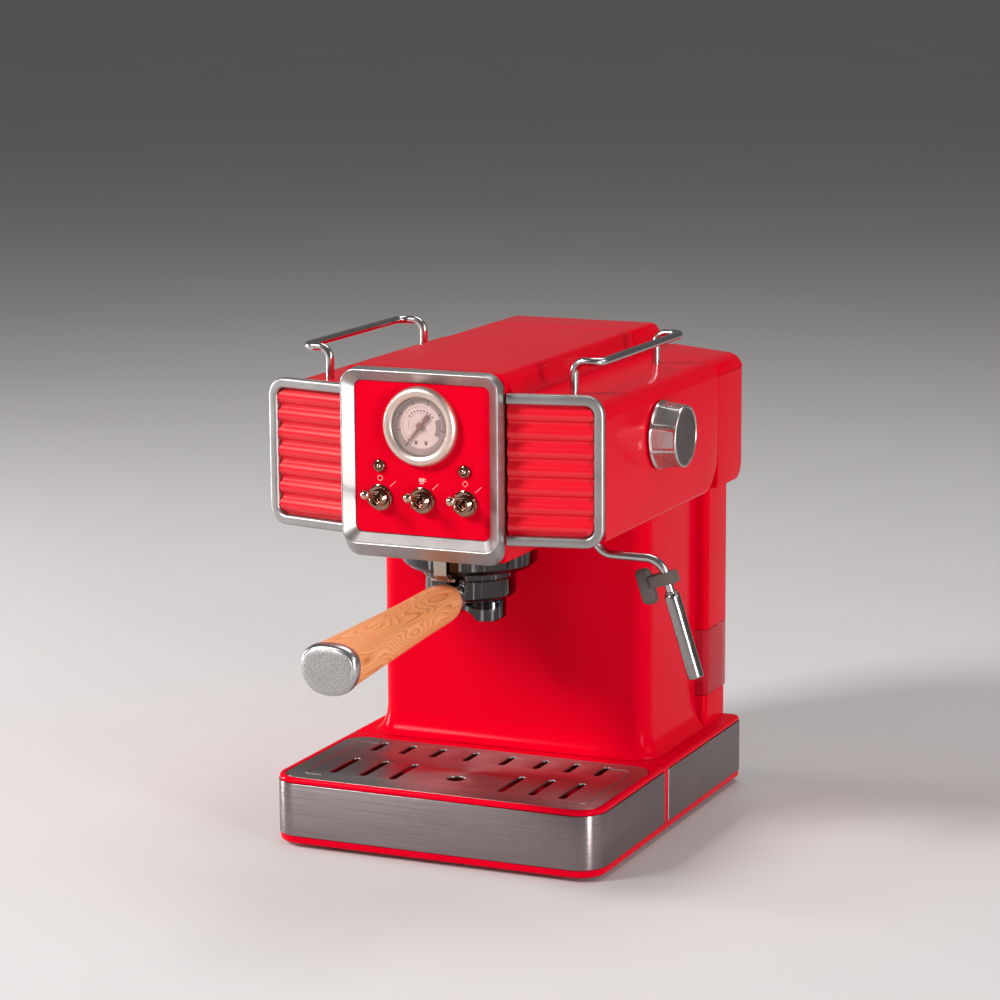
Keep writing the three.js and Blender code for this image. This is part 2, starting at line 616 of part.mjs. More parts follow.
function steamParts() {
  const { y, z, radius, face, length, flutes } = KNOB;
  const side = HEAD.half + 0.9;
  const count = 32;
  const ringAt = (x, r, flat) => Array.from({ length: count }, (_, i) => {
    const a = (i / count) * Math.PI * 2;
    const sector = Math.PI / flutes;
    const inSector = ((a + sector) % (2 * sector)) - sector;
    const chord = Math.cos(sector) / Math.cos(inSector);
    const reach = r * THREE.MathUtils.lerp(1, chord, flat);
    return vec(x, y + reach * Math.cos(a), z + reach * Math.sin(a));
  });
  const knob = loft([
    ringAt(side, radius - 0.6, 0), ringAt(side + 0.8, radius, 0.1), ringAt(side + 2, radius, 0.9),
    ringAt(side + length - 1.6, face + 0.5, 0.9), ringAt(side + length - 0.8, face + 0.2, 0.1),
    ringAt(side + length, face - 0.7, 0), ringAt(side + length - 0.7, face - 1.5, 0),
  ]);
  add('steam_knob', cut(knob, bar(vec(side - 1, y, z), vec(side + 11, y, z), 3.3)), brushedSteel);
  add('valve_spindle', bar(vec(88, y, z), vec(side + 10.5, y, z), 3), brass);
  add('steam_valve', cut(
    join(block(66, 86, y - 12, y + 12, z - 14, z + 14), bar(vec(86, y, z), vec(96, y, z), 8)),
    bar(vec(87, y, z), vec(98, y, z), 3.4),
  ), brass);

  const swing = rad(WAND.swing);
  const out = (d, h) => vec(WAND.x + d * Math.cos(swing), WAND.y + d * Math.sin(swing), h);
  const route = [vec(WAND.x, WAND.y, 226), out(0, WAND.arm), out(...ARM.elbow), out(...ARM.end)];
  add('steam_pipe', pipe(route, WAND.pipe, WAND.bends, 24), chrome);
  const nut = [[WAND.pipe + 0.4, -1.5], [5.2, -1.5], [6.1, 0], [6.1, 12], [WAND.pipe + 0.4, 12]];
  add('pipe_nut', turned(ring(nut), vec(WAND.x, WAND.y, HEAD.bottom - 1), undefined, 14), chrome);

  const tip = out(...ARM.end);
  const down = tip.clone().sub(out(...ARM.elbow)).normalize();
  add('froth_sleeve', turned(ring([
    [3.1, -3], [3.9, -3], [3.9, -1.6], [4.7, -0.8], [4.9, 1], [5.1, ARM.sleeve - 1], [4.6, ARM.sleeve],
    [3.1, ARM.sleeve],
  ]), out(...ARM.collar), down, 16), brushedSteel);

  const clipAt = out(...ARM.clip);
  const grip = new THREE.Group();
  grip.position.copy(clipAt);
  grip.quaternion.setFromUnitVectors(vec(0, 0, -1), down);
  grip.updateMatrix();
  const tab = join(
    slab(roundedRect(-20, -9.5, -3, 3, 2.8), -13, 10),
    block(-11, 6.5, -4.6, 4.6, -3, 4.6),
  );
  const bored = cut(tab, bar(vec(0, 0, -30), vec(0, 0, 30), WAND.pipe + GAP, undefined, 16));
  add('pipe_grip', bored.applyMatrix4(grip.matrix), greyRubber);
}

// ---- cup rails ------------------------------------------------------------------------------------------

function rails() {
  const { leg, bar: out, front, rear, z, radius, bend, foot } = RAIL;
  for (const [side, s] of [['left', -1], ['right', 1]]) {
    const points = [
      vec(s * leg, front, foot), vec(s * leg, front, z), vec(s * out, front, z),
      vec(s * out, rear, z), vec(s * leg, rear, z), vec(s * leg, rear, foot),
    ];
    add(`cup_rail_${side}`, pipe(points, radius, [bend, bend, bend, bend], 32), chrome);
  }
}

// ---- group head and filter holder -----------------------------------------------------------------------

function groupParts() {
  const { y, ring: outer, bore, bottom, top } = GROUP;
  const ceiling = top - 4.5;
  add('group_collar', turned(ring([
    [8, top - GAP], [outer, top - GAP], [outer, bottom + 3], [outer - 2.5, bottom], [bore, bottom],
    [bore, ceiling], [8, ceiling],
  ]), vec(0, y, 0), undefined, 22), darkChrome);
  add('group_seal', turned(ring([
    [25.2, ceiling - 3], [31, ceiling - 3], [31, ceiling - GAP], [25.2, ceiling - GAP],
  ]), vec(0, y, 0), undefined, 22), blackRubber);
  add('shower_screen', turned([
    [0, ceiling - 2.6], [20, ceiling - 2.2], [24.8, ceiling - 1.6], [24.8, ceiling - GAP], [0, ceiling - GAP],
  ], vec(0, y, 0), undefined, 22), chrome);
  add('boiler', turned([
    [0, 207], [7.6, 207], [7.6, 214], [34, 214], [34, 221], [31, 221], [31, 262], [27, 270], [8, 274],
    [0, 274],
  ], vec(0, y, 0), undefined, 22), satinSilver);
}

function gripSection(y, w, h) {
  const count = 24;
  const z = GRIP.z - GRIP.drop * (GRIP.start - y);
  const soft = (v, power) => Math.sign(v) * Math.abs(v) ** power;
  return Array.from({ length: count }, (_, i) => {
    const a = (i / count) * Math.PI * 2;
    const [c, s] = [Math.cos(a), Math.sin(a)];
    return vec(w * soft(c, 0.82) * (1 + 0.12 * s), y, z + h * soft(s, 0.85));
  });
}

function holderParts() {
  const { radius, bottom, top, wall } = HOLDER;
  const y = GROUP.y;
  add('filter_holder', turned([
    [5, bottom], [radius - 2, bottom], [radius, bottom + 2], [radius, 176], [radius + 1.4, 177.5],
    [radius + 1.4, top], [radius - wall, top], [radius - wall, bottom + 5], [5, bottom + 4], [5, bottom],
  ], vec(0, y, 0), undefined, 22), chrome);
  const rim = top + GAP;
  const floor = bottom + 6.4;
  add('filter_basket', turned(ring([
    [0.6, floor], [23, floor], [25.6, floor + 3], [26.4, rim - 0.2], [28.9, rim - 0.2], [28.9, rim + 0.7],
    [25.6, rim + 0.7], [24.8, floor + 3.6], [22.6, floor + 1], [0.6, floor + 1],
  ]), vec(0, y, 0), undefined, 22), brushedSteel);
  spoutPart(bottom - GAP);

  const neckZ = GRIP.z;
  add('grip_ferrule', cut(
    bar(vec(0, y - 22, neckZ), vec(0, GRIP.start + GAP, neckZ), 8, 10.4),
    bar(vec(0, y, 140), vec(0, y, 200), radius + GAP, undefined, 22),
  ), chrome);
  // distance along the grip, half width and half height
  const steps = [
    [0, 10.6, 10.8], [1.5, 11.6, 11.6], [12, 12.6, 12], [45, 13.2, 12.2],
    [100, 15.2, 13.5], [150, 17.2, 14.8],
    [GRIP.start - GRIP.end, 17.7, 15.1],
  ];
  add('wood_grip', loft(steps.map(([d, w, h]) => gripSection(GRIP.start - d, w, h))), wood);
  const end = GRIP.end - GAP;
  add('grip_cap', loft([
    gripSection(end, 17.7, 15.1), gripSection(end - 1, 18.4, 15.7), gripSection(end - 5.5, 18.2, 15.5),
    gripSection(GRIP.cap, 16.3, 13.7),
  ]), hammered);

  const flap = [[-108.6, 179], [-107.4, 179], [-112.2, 184], [-112.2, 194], [-113.4, 194], [-113.4, 183.5]];
  const plate = sideways(polygon(flap), -4.2, 4.2);
  add('basket_clip', join(plate, bar(vec(-8, -108, 180), vec(8, -108, 180), 1.2, undefined, 10)), chrome);
}

// An oval drum under the holder, arched in the middle so that it ends in two mouths.
function spoutPart(top) {
  const { x, half, depth, bottom, arch, bore } = SPOUT;
  const inner = 9.5;
  const front = new THREE.Shape();
  front.moveTo(-half, top);
  front.lineTo(-half, bottom + 2);
  front.lineTo(-half + 3.4, bottom);
  front.lineTo(-inner, bottom);
  front.quadraticCurveTo(-inner * 0.7, bottom + arch, 0, bottom + arch);
  front.quadraticCurveTo(inner * 0.7, bottom + arch, inner, bottom);
  front.lineTo(half - 3.4, bottom);
  front.lineTo(half, bottom + 2);
  front.lineTo(half, top);
  const oval = new THREE.Shape();
  oval.absellipse(0, GROUP.y, half, depth, 0, Math.PI * 2);
  const drum = common(across(front, GROUP.y - depth, GROUP.y + depth), slab(oval, bottom - 1, top, 14));
  const outlet = (s) => bar(vec(s * x, GROUP.y, bottom - 1), vec(s * 3, GROUP.y, top - 2), bore, 3, 14);
  add('spout', cut(
    drum, outlet(-1), outlet(1), bar(vec(0, GROUP.y, top - 4), vec(0, GROUP.y, top + 1), bore, undefined, 14),
  ), darkChrome);
}

// ---- water tank -----------------------------------------------------------------------------------------

function tankParts() {
  const { half, front, rear, bottom, window: windowTop, corner, wall, valveY } = TANK;
  const { half: wide, front: face, rear: back, low, seam } = TANK_TOP;
  const lower = (d, z0, z1) => {
    const plan = roundedRect(-half + d, half - d, front + d, rear - d, Math.max(1, corner - d));
    return slab(plan, z0, z1);
  };
  const liner = wall + WALL + 2 * GAP;
  add('water_tank', cut(
    join(lower(0, bottom, windowTop), lower(WALL + GAP, windowTop - 1, 284)),
    join(lower(wall, bottom + wall, windowTop - 3), lower(liner, windowTop - 4, 300)),
    bar(vec(0, valveY, bottom - 1), vec(0, valveY, bottom + 9), 5.3),
  ), clear);

  const side = roundedRect(face, back, low, seam - GAP, [2, TANK_TOP.corner, 1, 1]);
  const plan = roundedRect(-wide, wide, face, back, [1, 1, TANK_TOP.rearCorner, TANK_TOP.rearCorner]);
  const upper = common(sideways(side, -wide, wide), slab(plan, low - 10, seam + 10));
  const { hingeY, hingeZ, lug } = LID;
  const lugs = [-LID.lugX, LID.lugX].map((x) => join(
    block(x - lug, x + lug, hingeY - 0.4, hingeY + 3, seam - 4, hingeZ),
    bar(vec(x - lug, hingeY + 0.8, hingeZ), vec(x + lug, hingeY + 0.8, hingeZ), 2, undefined, 12),
  ));
  const pinHole = bar(vec(-60, hingeY, hingeZ), vec(60, hingeY, hingeZ), LID.pin + 0.08, undefined, 12);
  add('tank_sleeve', cut(
    join(lower(0, windowTop + GAP, low + 2), upper, ...lugs),
    lower(WALL, windowTop - 1, 300),
    pinHole,
  ), red);

  lidPart();
  add('tank_valve', turned([
    [0, bottom - 5], [3, bottom - 5], [3, bottom + 2.3], [6.4, bottom + 2.3], [6.4, bottom + 4.3],
    [0, bottom + 6],
  ], vec(0, valveY, 0), undefined, 14), blackPlastic);
}

function lidPart() {
  const { front, hingeY, hingeZ, pin, lugX, lug, ear, corner } = LID;
  const { half, rear, rearCorner, seam: low } = TANK_TOP;
  const plan = roundedRect(-half, half, front, rear, [1, 1, rearCorner, rearCorner]);
  const shoulders = common(
    across(headSection(0), front, rear),
    slab(plan, low, CROWN.top),
    sideways(roundedRect(front, rear, low, HEAD.shoulder, [0.5, 0.5, corner, 0.5]), -120, 120),
  );
  const crown = common(
    across(crownSection(0), front, rear - 1),
    sideways(roundedRect(front, rear - 1, low, CROWN.top, [0.5, 0.5, corner, 2]), -120, 120),
  );
  const filler = roundedRect(-CROWN.foot, CROWN.foot, low + 5, HEAD.shoulder + 0.6, 0.2);
  const sunk = across(filler, front, rear - 9);
  const hollow = join(
    block(-half + 3, half - 3, front + 2.2, rear - 3, low - 1, HEAD.shoulderEdge - 3),
    block(-CROWN.half + 3, CROWN.half - 3, front + 1, rear - 11, low - 1, CROWN.top - 1.7),
  );
  const tab = roundedRect(-TAB.half, TAB.half, low + 0.2, low + 0.2 + TAB.thick, 1.2);
  // The front wall is open at the lugs, which it would meet as the lid swings up.
  const gates = [-lugX, lugX].map(
    (x) => block(x - lug - 0.5, x + lug + 0.5, front - 1, hingeY + 4, low - 1, hingeZ + 2.3),
  );
  const shell = cut(join(shoulders, crown, sunk, across(tab, rear - 2, rear + TAB.reach)), hollow, ...gates);
  const ears = [-1, 1].map((s) => {
    const x = s * (lugX + lug + ear);
    return block(x - ear, x + ear, hingeY - 2, hingeY + 2, hingeZ - 3, CROWN.top - 1);
  });
  const reach = lugX + lug + 2 * ear;
  const rod = bar(vec(-reach, hingeY, hingeZ), vec(reach, hingeY, hingeZ), pin, undefined, 12);
  add('tank_lid', join(shell, ...ears, rod), red);
}

// ---- works inside ---------------------------------------------------------------------------------------

function insideParts() {
  const { x, y, feet, body, head, outlet, top } = PUMP;
  add('pump', join(
    bar(vec(x, y, feet), vec(x, y, body), 9),
    block(x - 20, x + 20, y - 19, y + 19, body, head),
    bar(vec(x, y, head), vec(x, y, outlet), 10),
    bar(vec(x, y, outlet), vec(x, y, top), 4),
  ), blackPlastic);
  const chips = CHIPS.map(([cx, cz, size]) => (
    block(cx - size, cx + size, BOARD.y - 10, BOARD.y + 0.5, cz - size, cz + size)
  ));
  const sheet = block(BOARD.x0, BOARD.x1, BOARD.y, BOARD.y + BOARD.thick, BOARD.low, BOARD.high);
  add('control_board', join(sheet, ...chips), boardGreen);
}

baseParts();
trayParts();
columnPart();
headParts();
centreFrame();
controlPanel();
wings();
gaugeParts();
lampsAndSwitches();
steamParts();
rails();
groupParts();
holderParts();
tankParts();
insideParts();

const box = new THREE.Box3().setFromObject(machine);
const middle = box.getCenter(vec());
machine.position.set(-middle.x, -middle.y, -box.min.z);

export default machine;
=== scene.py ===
"""Looks of the espresso machine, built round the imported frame. Lengths are millimetres in the machine's axes:
x = 0 is its plane of symmetry, y = 0 the middle of its base, z = 0 the surface that it stands on."""
import math

import bmesh
import bpy
from mathutils import Matrix, Vector


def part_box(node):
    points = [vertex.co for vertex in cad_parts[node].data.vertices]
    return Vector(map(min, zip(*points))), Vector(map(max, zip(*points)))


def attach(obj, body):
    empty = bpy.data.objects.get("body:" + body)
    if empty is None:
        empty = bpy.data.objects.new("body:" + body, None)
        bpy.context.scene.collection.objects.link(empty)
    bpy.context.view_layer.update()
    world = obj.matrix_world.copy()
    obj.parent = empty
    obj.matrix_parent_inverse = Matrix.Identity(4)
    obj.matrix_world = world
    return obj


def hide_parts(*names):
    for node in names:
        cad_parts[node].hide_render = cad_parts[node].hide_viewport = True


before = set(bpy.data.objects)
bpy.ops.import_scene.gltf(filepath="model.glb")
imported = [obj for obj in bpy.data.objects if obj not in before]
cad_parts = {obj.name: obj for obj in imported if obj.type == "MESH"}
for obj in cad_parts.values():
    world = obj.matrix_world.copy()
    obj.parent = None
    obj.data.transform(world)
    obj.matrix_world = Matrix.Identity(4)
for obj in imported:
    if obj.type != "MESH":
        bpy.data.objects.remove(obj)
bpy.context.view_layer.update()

MM = 0.001
SIDES = (("left", -1), ("right", 1))
FORWARD = (0, -1, 0)
RIGHT = (1, 0, 0)

low_corner, high_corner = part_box("base_shell")
ORIGIN = Vector(((low_corner[0] + high_corner[0]) / 2, (low_corner[1] + high_corner[1]) / 2, 0.0)) / MM


def node_box(node):
    """A CAD node's box: its low corner, its high corner and its middle."""
    low, high = ([corner[i] / MM - ORIGIN[i] for i in range(3)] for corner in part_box(node))
    return low, high, [(a + b) / 2 for a, b in zip(low, high)]


# ---- outlines ----


def rounded(x0, x1, y0, y1, radii, steps=8):
    """A rectangle with a radius for each corner: low-left, low-right, high-right, high-left."""
    a, b, c, d = radii if isinstance(radii, tuple) else (radii,) * 4
    corners = ((x0 + a, y0 + a, a), (x1 - b, y0 + b, b), (x1 - c, y1 - c, c), (x0 + d, y1 - d, d))
    points = []
    for (cx, cy, r), start in zip(corners, (180, 270, 0, 90)):
        for i in range(steps + 1):
            angle = math.radians(start + 90 * i / steps)
            points.append((cx + r * math.cos(angle), cy + r * math.sin(angle)))
    return points


def shrinking(x0, x1, y0, y1, corner, steps=10, least=0.2):
    """A plan for stack: the rounded rectangle with its sides moved in by d."""
    def plan(d):
        return rounded(x0 + d, x1 - d, y0 + d, y1 - d, max(least, corner - d), steps)
    return plan


def circle(cx, cy, r, count=32):
    turns = [2 * math.pi * i / count for i in range(count)]
    return [(cx + r * math.cos(a), cy + r * math.sin(a)) for a in turns]


def curve_through(a, b, c, steps=8):
    """A quadratic curve from a to c, pulled towards b, without its first point."""
    out = []
    for i in range(1, steps + 1):
        t = i / steps
        out.append(tuple((1 - t) ** 2 * a[k] + 2 * t * (1 - t) * b[k] + t * t * c[k] for k in range(2)))
    return out


def mirrored(half):
    """Points of the right half of an outline, then the same on the left, back to the start."""
    return half + [(-x, z) for x, z in reversed(half)]


def quarter(steps=10):
    """Sine, and one minus cosine, in even steps round a quarter turn."""
    turns = [i / steps * math.pi / 2 for i in range(steps + 1)]
    return [(math.sin(a), 1 - math.cos(a)) for a in turns]


def offset(a, b, *pairs):
    """Points given by their distance from (a, b)."""
    return [(a + da, b + db) for da, db in pairs]


def at_height(plan, z):
    return [(x, y, z) for x, y in plan]


def at_depth(outline, y):
    return [(x, y, z) for x, z in outline]


def stack(plan, levels):
    """Rings of a plan outline: plan(inset) gives x, y points, and levels are (z, inset) pairs."""
    return [at_height(plan(inset), z) for z, inset in levels]


# ---- mesh makers ----


def link(obj):
    bpy.context.scene.collection.objects.link(obj)
    return obj


def finish_mesh(name, bm, smooth=38):
    """Turns machine millimetres into metres in the row's frame, and shades edges under the angle smooth."""
    bmesh.ops.remove_doubles(bm, verts=bm.verts, dist=1e-4)
    bmesh.ops.recalc_face_normals(bm, faces=bm.faces)
    bmesh.ops.transform(bm, matrix=Matrix.Scale(MM, 4) @ Matrix.Translation(ORIGIN), verts=bm.verts)
    mesh = bpy.data.meshes.new(name)
    bm.to_mesh(mesh)
    bm.free()
    mesh.shade_smooth()
    mesh.set_sharp_from_angle(angle=math.radians(smooth))
    return link(bpy.data.objects.new(name, mesh))


def skin(bm, rows, loop=False):
    """Quads between neighbouring closed rows of vertices. A loop joins the last row to the first."""
    for low, high in zip(rows, rows[1:] + rows[:1] if loop else rows[1:]):
        for j in range(len(low)):
            k = (j + 1) % len(low)
            bm.faces.new((low[j], low[k], high[k], high[j]))


def add_loft(bm, rings, loop=False):
    """Skins a row of outlines with equal point counts, and closes its ends unless it is a loop."""
    rows = [[bm.verts.new(p) for p in ring] for ring in rings]
    skin(bm, rows, loop)
    if not loop:
        bm.faces.new(rows[0])
        bm.faces.new(rows[-1])


def loft(name, rings, loop=False, smooth=38):
    bm = bmesh.new()
    add_loft(bm, rings, loop)
    return finish_mesh(name, bm, smooth)


def add_turned(bm, profile, centre, axis=(0, 0, 1), sides=64):
    """A profile of (radius, height) points turned about an axis. Ends on the axis close by themselves."""
    turn = Vector((0, 0, 1)).rotation_difference(Vector(axis)).to_matrix()
    rows = []
    for r, h in profile:
        ring = circle(0, 0, r, sides)
        rows.append([bm.verts.new(turn @ Vector((x, y, h)) + Vector(centre)) for x, y in ring])
    skin(bm, rows)


def turned(name, profile, centre, axis=(0, 0, 1), sides=64):
    bm = bmesh.new()
    add_turned(bm, profile, centre, axis, sides)
    return finish_mesh(name, bm)


def round_path(points, bend, steps=8):
    """Straight runs through the points with an even bend at each inner one."""
    path = [Vector(points[0])]
    for before, corner, after in zip(points, points[1:], points[2:]):
        corner = Vector(corner)
        back, ahead = (Vector(before) - corner), (Vector(after) - corner)
        angle = back.angle(ahead)
        reach = min(bend / math.tan(angle / 2), back.length * 0.49, ahead.length * 0.49)
        radius = reach * math.tan(angle / 2)
        start, end = corner + back.normalized() * reach, corner + ahead.normalized() * reach
        middle = (back.normalized() + ahead.normalized()).normalized()
        centre = corner + middle * (radius / math.sin(angle / 2))
        u, v = start - centre, end - centre
        sweep_angle = u.angle(v)
        for i in range(steps + 1):
            t = i / steps
            arm = u * math.sin((1 - t) * sweep_angle) + v * math.sin(t * sweep_angle)
            path.append(centre + arm / math.sin(sweep_angle))
    path.append(Vector(points[-1]))
    return path


def add_sweep(bm, path, section, up, loop=False):
    """Carries a section of (side, up) points along a path. up is the section's second axis at the start."""
    rows = []
    up = Vector(up).normalized()
    count = len(path)
    for i, point in enumerate(path):
        before = path[(i - 1) % count] if loop else path[max(i - 1, 0)]
        after = path[(i + 1) % count] if loop else path[min(i + 1, count - 1)]
        along = (Vector(after) - Vector(before)).normalized()
        side = along.cross(up).normalized()
        up = side.cross(along).normalized()
        rows.append([Vector(point) + side * s + up * u for s, u in section])
    add_loft(bm, rows, loop)


def sweep(name, path, section, up):
    bm = bmesh.new()
    add_sweep(bm, path, section, up)
    return finish_mesh(name, bm)


def add_block(bm, x0, x1, y0, y1, z0, z1, edge=0.6):
    """A block with all its edges rounded."""
    near = edge * 0.3
    levels = [(z0, edge), (z0 + near, near), (z0 + edge, 0), (z1 - edge, 0), (z1 - near, near), (z1, edge)]
    rings = []
    for z, inset in levels:
        r = max(edge * 1.2 - inset, 0.05)
        rings.append(at_height(rounded(x0 + inset, x1 - inset, y0 + inset, y1 - inset, r, 3), z))
    add_loft(bm, rings)


def add_plate(bm, outlines, low, high, edge):
    """A flat plate with holes and softened edges. The first outline is the outer one."""
    thick = high - low
    data = bpy.data.curves.new("plate", "CURVE")
    data.dimensions = "2D"
    data.fill_mode = "BOTH"
    data.extrude = thick / 2 - edge
    data.bevel_depth = edge
    data.bevel_resolution = 2
    data.offset = -edge
    for points in outlines:
        spline = data.splines.new("POLY")
        spline.points.add(len(points) - 1)
        for target, (x, y) in zip(spline.points, points):
            target.co = (x, y, 0, 1)
        spline.use_cyclic_u = True
    holder = link(bpy.data.objects.new("plate", data))
    depsgraph = bpy.context.evaluated_depsgraph_get()
    mesh = bpy.data.meshes.new_from_object(holder.evaluated_get(depsgraph))
    bpy.data.objects.remove(holder)
    bpy.data.curves.remove(data)
    mesh.transform(Matrix.Translation((0, 0, low + thick / 2)))
    bm.from_mesh(mesh)
    bpy.data.meshes.remove(mesh)


def soften(obj, width, angle=35):
    """Rounds a piece's sharp edges."""
    bevel = obj.modifiers.new("soft_edges", "BEVEL")
    bevel.width = width * MM
    bevel.segments = 2
    bevel.limit_method = "ANGLE"
    bevel.angle_limit = math.radians(angle)
    bevel.harden_normals = True


def fit(obj, body, paint, slot, *nodes):
    """Gives a finished piece its material, its body and the CAD nodes it stands for; slot is not used."""
    obj.data.materials.clear()
    obj.data.materials.append(M[paint])
    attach(obj, body)
    if nodes:
        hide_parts(*nodes)


# ---- materials ----


class Paint:
    """Builds one node material on a Principled shader, in the object's own coordinates."""

    def __init__(self, name, **sockets):
        self.material = bpy.data.materials.new(name)
        self.material.use_nodes = True
        self.tree = self.material.node_tree
        self.shader = self.tree.nodes["Principled BSDF"]
        for key, value in sockets.items():
            self.shader.inputs[key.replace("_", " ")].default_value = value
        self.position = self.node("ShaderNodeTexCoord").outputs["Object"]
        self.normal = None

    def node(self, kind, sockets=None, **settings):
        """A node with its settings made and its sockets filled by a value or a link."""
        node = self.tree.nodes.new(kind)
        for key, value in settings.items():
            setattr(node, key, value)
        for key, value in (sockets or {}).items():
            if isinstance(value, bpy.types.NodeSocket):
                self.tree.links.new(value, node.inputs[key])
            else:
                node.inputs[key].default_value = value
        return node

    def mapped(self, stretch, turn=(0, 0, 0)):
        """The position scaled to one unit per feature: stretch gives the features' sizes."""
        scale = tuple(1 / (MM * s) for s in stretch)
        sockets = {"Scale": scale, "Rotation": turn, "Vector": self.position}
        return self.node("ShaderNodeMapping", sockets).outputs["Vector"]

    def noise(self, stretch, detail=3.0, roughness=0.55, distortion=0.0):
        stretch = stretch if isinstance(stretch, tuple) else (stretch,) * 3
        sockets = {"Scale": 1.0, "Detail": detail, "Roughness": roughness, "Distortion": distortion,
                   "Vector": self.mapped(stretch)}
        return self.node("ShaderNodeTexNoise", sockets).outputs["Fac"]

    def cells(self, size, feature="F1"):
        sockets = {"Scale": 1.0, "Vector": self.mapped((size,) * 3)}
        return self.node("ShaderNodeTexVoronoi", sockets, feature=feature).outputs["Distance"]

    def remap(self, value, low, high, start=0.3, end=0.7):
        sockets = {"From Min": start, "From Max": end, "To Min": low, "To Max": high, "Value": value}
        return self.node("ShaderNodeMapRange", sockets).outputs["Result"]

    def blend(self, value, *stops):
        """A colour ramp of (place, colour) stops."""
        node = self.node("ShaderNodeValToRGB", {"Fac": value})
        ramp = node.color_ramp
        while len(ramp.elements) < len(stops):
            ramp.elements.new(0.5)
        for element, (place, colour) in zip(ramp.elements, stops):
            element.position = place
            element.color = (*colour, 1.0)
        return node.outputs["Color"]

    def add(self, a, b, scale):
        """a plus scale times b."""
        node = self.node("ShaderNodeMath", {0: b, 1: scale, 2: a}, operation="MULTIPLY_ADD")
        return node.outputs["Value"]

    def colour(self, output):
        self.tree.links.new(output, self.shader.inputs["Base Color"])

    def cloudy(self, value, colour, low, high, places=(0.3, 0.7)):
        """The colour darkened and lightened by two factors, from place to place of a value."""
        self.colour(self.blend(value, (places[0], shade(colour, low)), (places[1], shade(colour, high))))

    def rough(self, output):
        self.tree.links.new(output, self.shader.inputs["Roughness"])

    def bump(self, height, depth, strength):
        """Bump of a depth in millimetres, over the bumps made before. Gives the finished material."""
        sockets = {"Distance": depth * MM, "Strength": strength, "Height": height}
        if self.normal is not None:
            sockets["Normal"] = self.normal
        self.normal = self.node("ShaderNodeBump", sockets).outputs["Normal"]
        self.tree.links.new(self.normal, self.shader.inputs["Normal"])
        return self.material


def shade(colour, factor):
    return tuple(min(1.0, c * factor) for c in colour)


RED = (0.68, 0.0, 0.014)
STEEL = (0.27, 0.222, 0.226)


def gloss_plastic(name, rough=(0.13, 0.2), gloss=0.06, tint=(1.0, 0.3, 0.32)):
    """Red moulded plastic with a faintly cloudy gloss, which takes on some of its colour."""
    paint = Paint(name, Specular_IOR_Level=gloss, Specular_Tint=(*tint, 1.0))
    cloud = paint.noise(60, 1)
    paint.cloudy(cloud, RED, 0.94, 1.06, (0.0, 1.0))
    paint.rough(paint.remap(cloud, *rough, start=0.0, end=1.0))
    return paint.material


def brushed(name, colour, stretch, rough, depth, aniso=0.0, contrast=0.12):
    """Metal brushed along the long direction of stretch."""
    paint = Paint(name, Metallic=1.0, Anisotropic=aniso, Anisotropic_Rotation=0.25)
    streak = paint.noise(stretch, 6, 0.7)
    both = paint.add(streak, paint.noise(30, 2), 0.25)
    paint.cloudy(both, colour, 1 - contrast, 1 + contrast, (0.4, 0.85))
    paint.rough(paint.remap(streak, *rough))
    return paint.bump(streak, depth, 0.6)


def polished(name, colour, rough=(0.04, 0.12), scale=14, depth=0.004):
    """Chrome with faint smears."""
    paint = Paint(name, Metallic=1.0)
    smear = paint.noise(scale, 5, 0.65, 0.6)
    paint.cloudy(smear, colour, 0.92, 1.04)
    paint.rough(paint.remap(smear, *rough))
    return paint.bump(paint.noise((0.8, 0.8, 3.0)), depth, 0.5)


def painted_reflection_chrome(name, dark, pale):
    """Chrome with its colour painted dark and pale upright streaks painted into it: painted reflections of dark
    surroundings and bright lines.
    """
    paint = Paint(name, Metallic=1.0)
    streak = paint.noise((2.6, 2.6, 90), 3, 0.6)
    # Painted reflections: the base colour runs from dark to pale in upright streaks.
    paint.colour(paint.blend(streak, (0.35, dark), (0.56, dark), (0.66, pale)))
    paint.rough(paint.remap(streak, 0.05, 0.12))
    return paint.material


def satin(name, colour, rough, size=0.35, depth=0.01):
    """Fine-blasted or satin metal."""
    paint = Paint(name, Metallic=1.0)
    grain = paint.noise(size)
    cloud = paint.noise(22)
    paint.cloudy(cloud, colour, 0.92, 1.06)
    paint.rough(paint.remap(paint.add(grain, cloud, 0.5), *rough, start=0.5, end=1.0))
    return paint.bump(grain, depth, 0.6)


def dull(name, colour, rough, size=0.6, depth=0.03, contrast=0.12):
    """Rubber, print or matt plastic."""
    paint = Paint(name, Specular_IOR_Level=0.35)
    grain = paint.noise(size)
    paint.cloudy(paint.noise(12, 4), colour, 1 - contrast, 1 + contrast)
    paint.rough(paint.remap(grain, *rough))
    return paint.bump(grain, depth, 0.7)


def clear(name, colour, alpha, rough=(0.02, 0.08), depth=0.004):
    """Clear moulding: see-through, with its gloss kept."""
    paint = Paint(name, Alpha=alpha, Specular_IOR_Level=0.2, Coat_Weight=0.05, Coat_Roughness=0.04)
    cloud = paint.noise(8, 4)
    paint.cloudy(cloud, colour, 0.95, 1.02)
    paint.rough(paint.remap(cloud, *rough))
    return paint.bump(cloud, depth, 0.4)


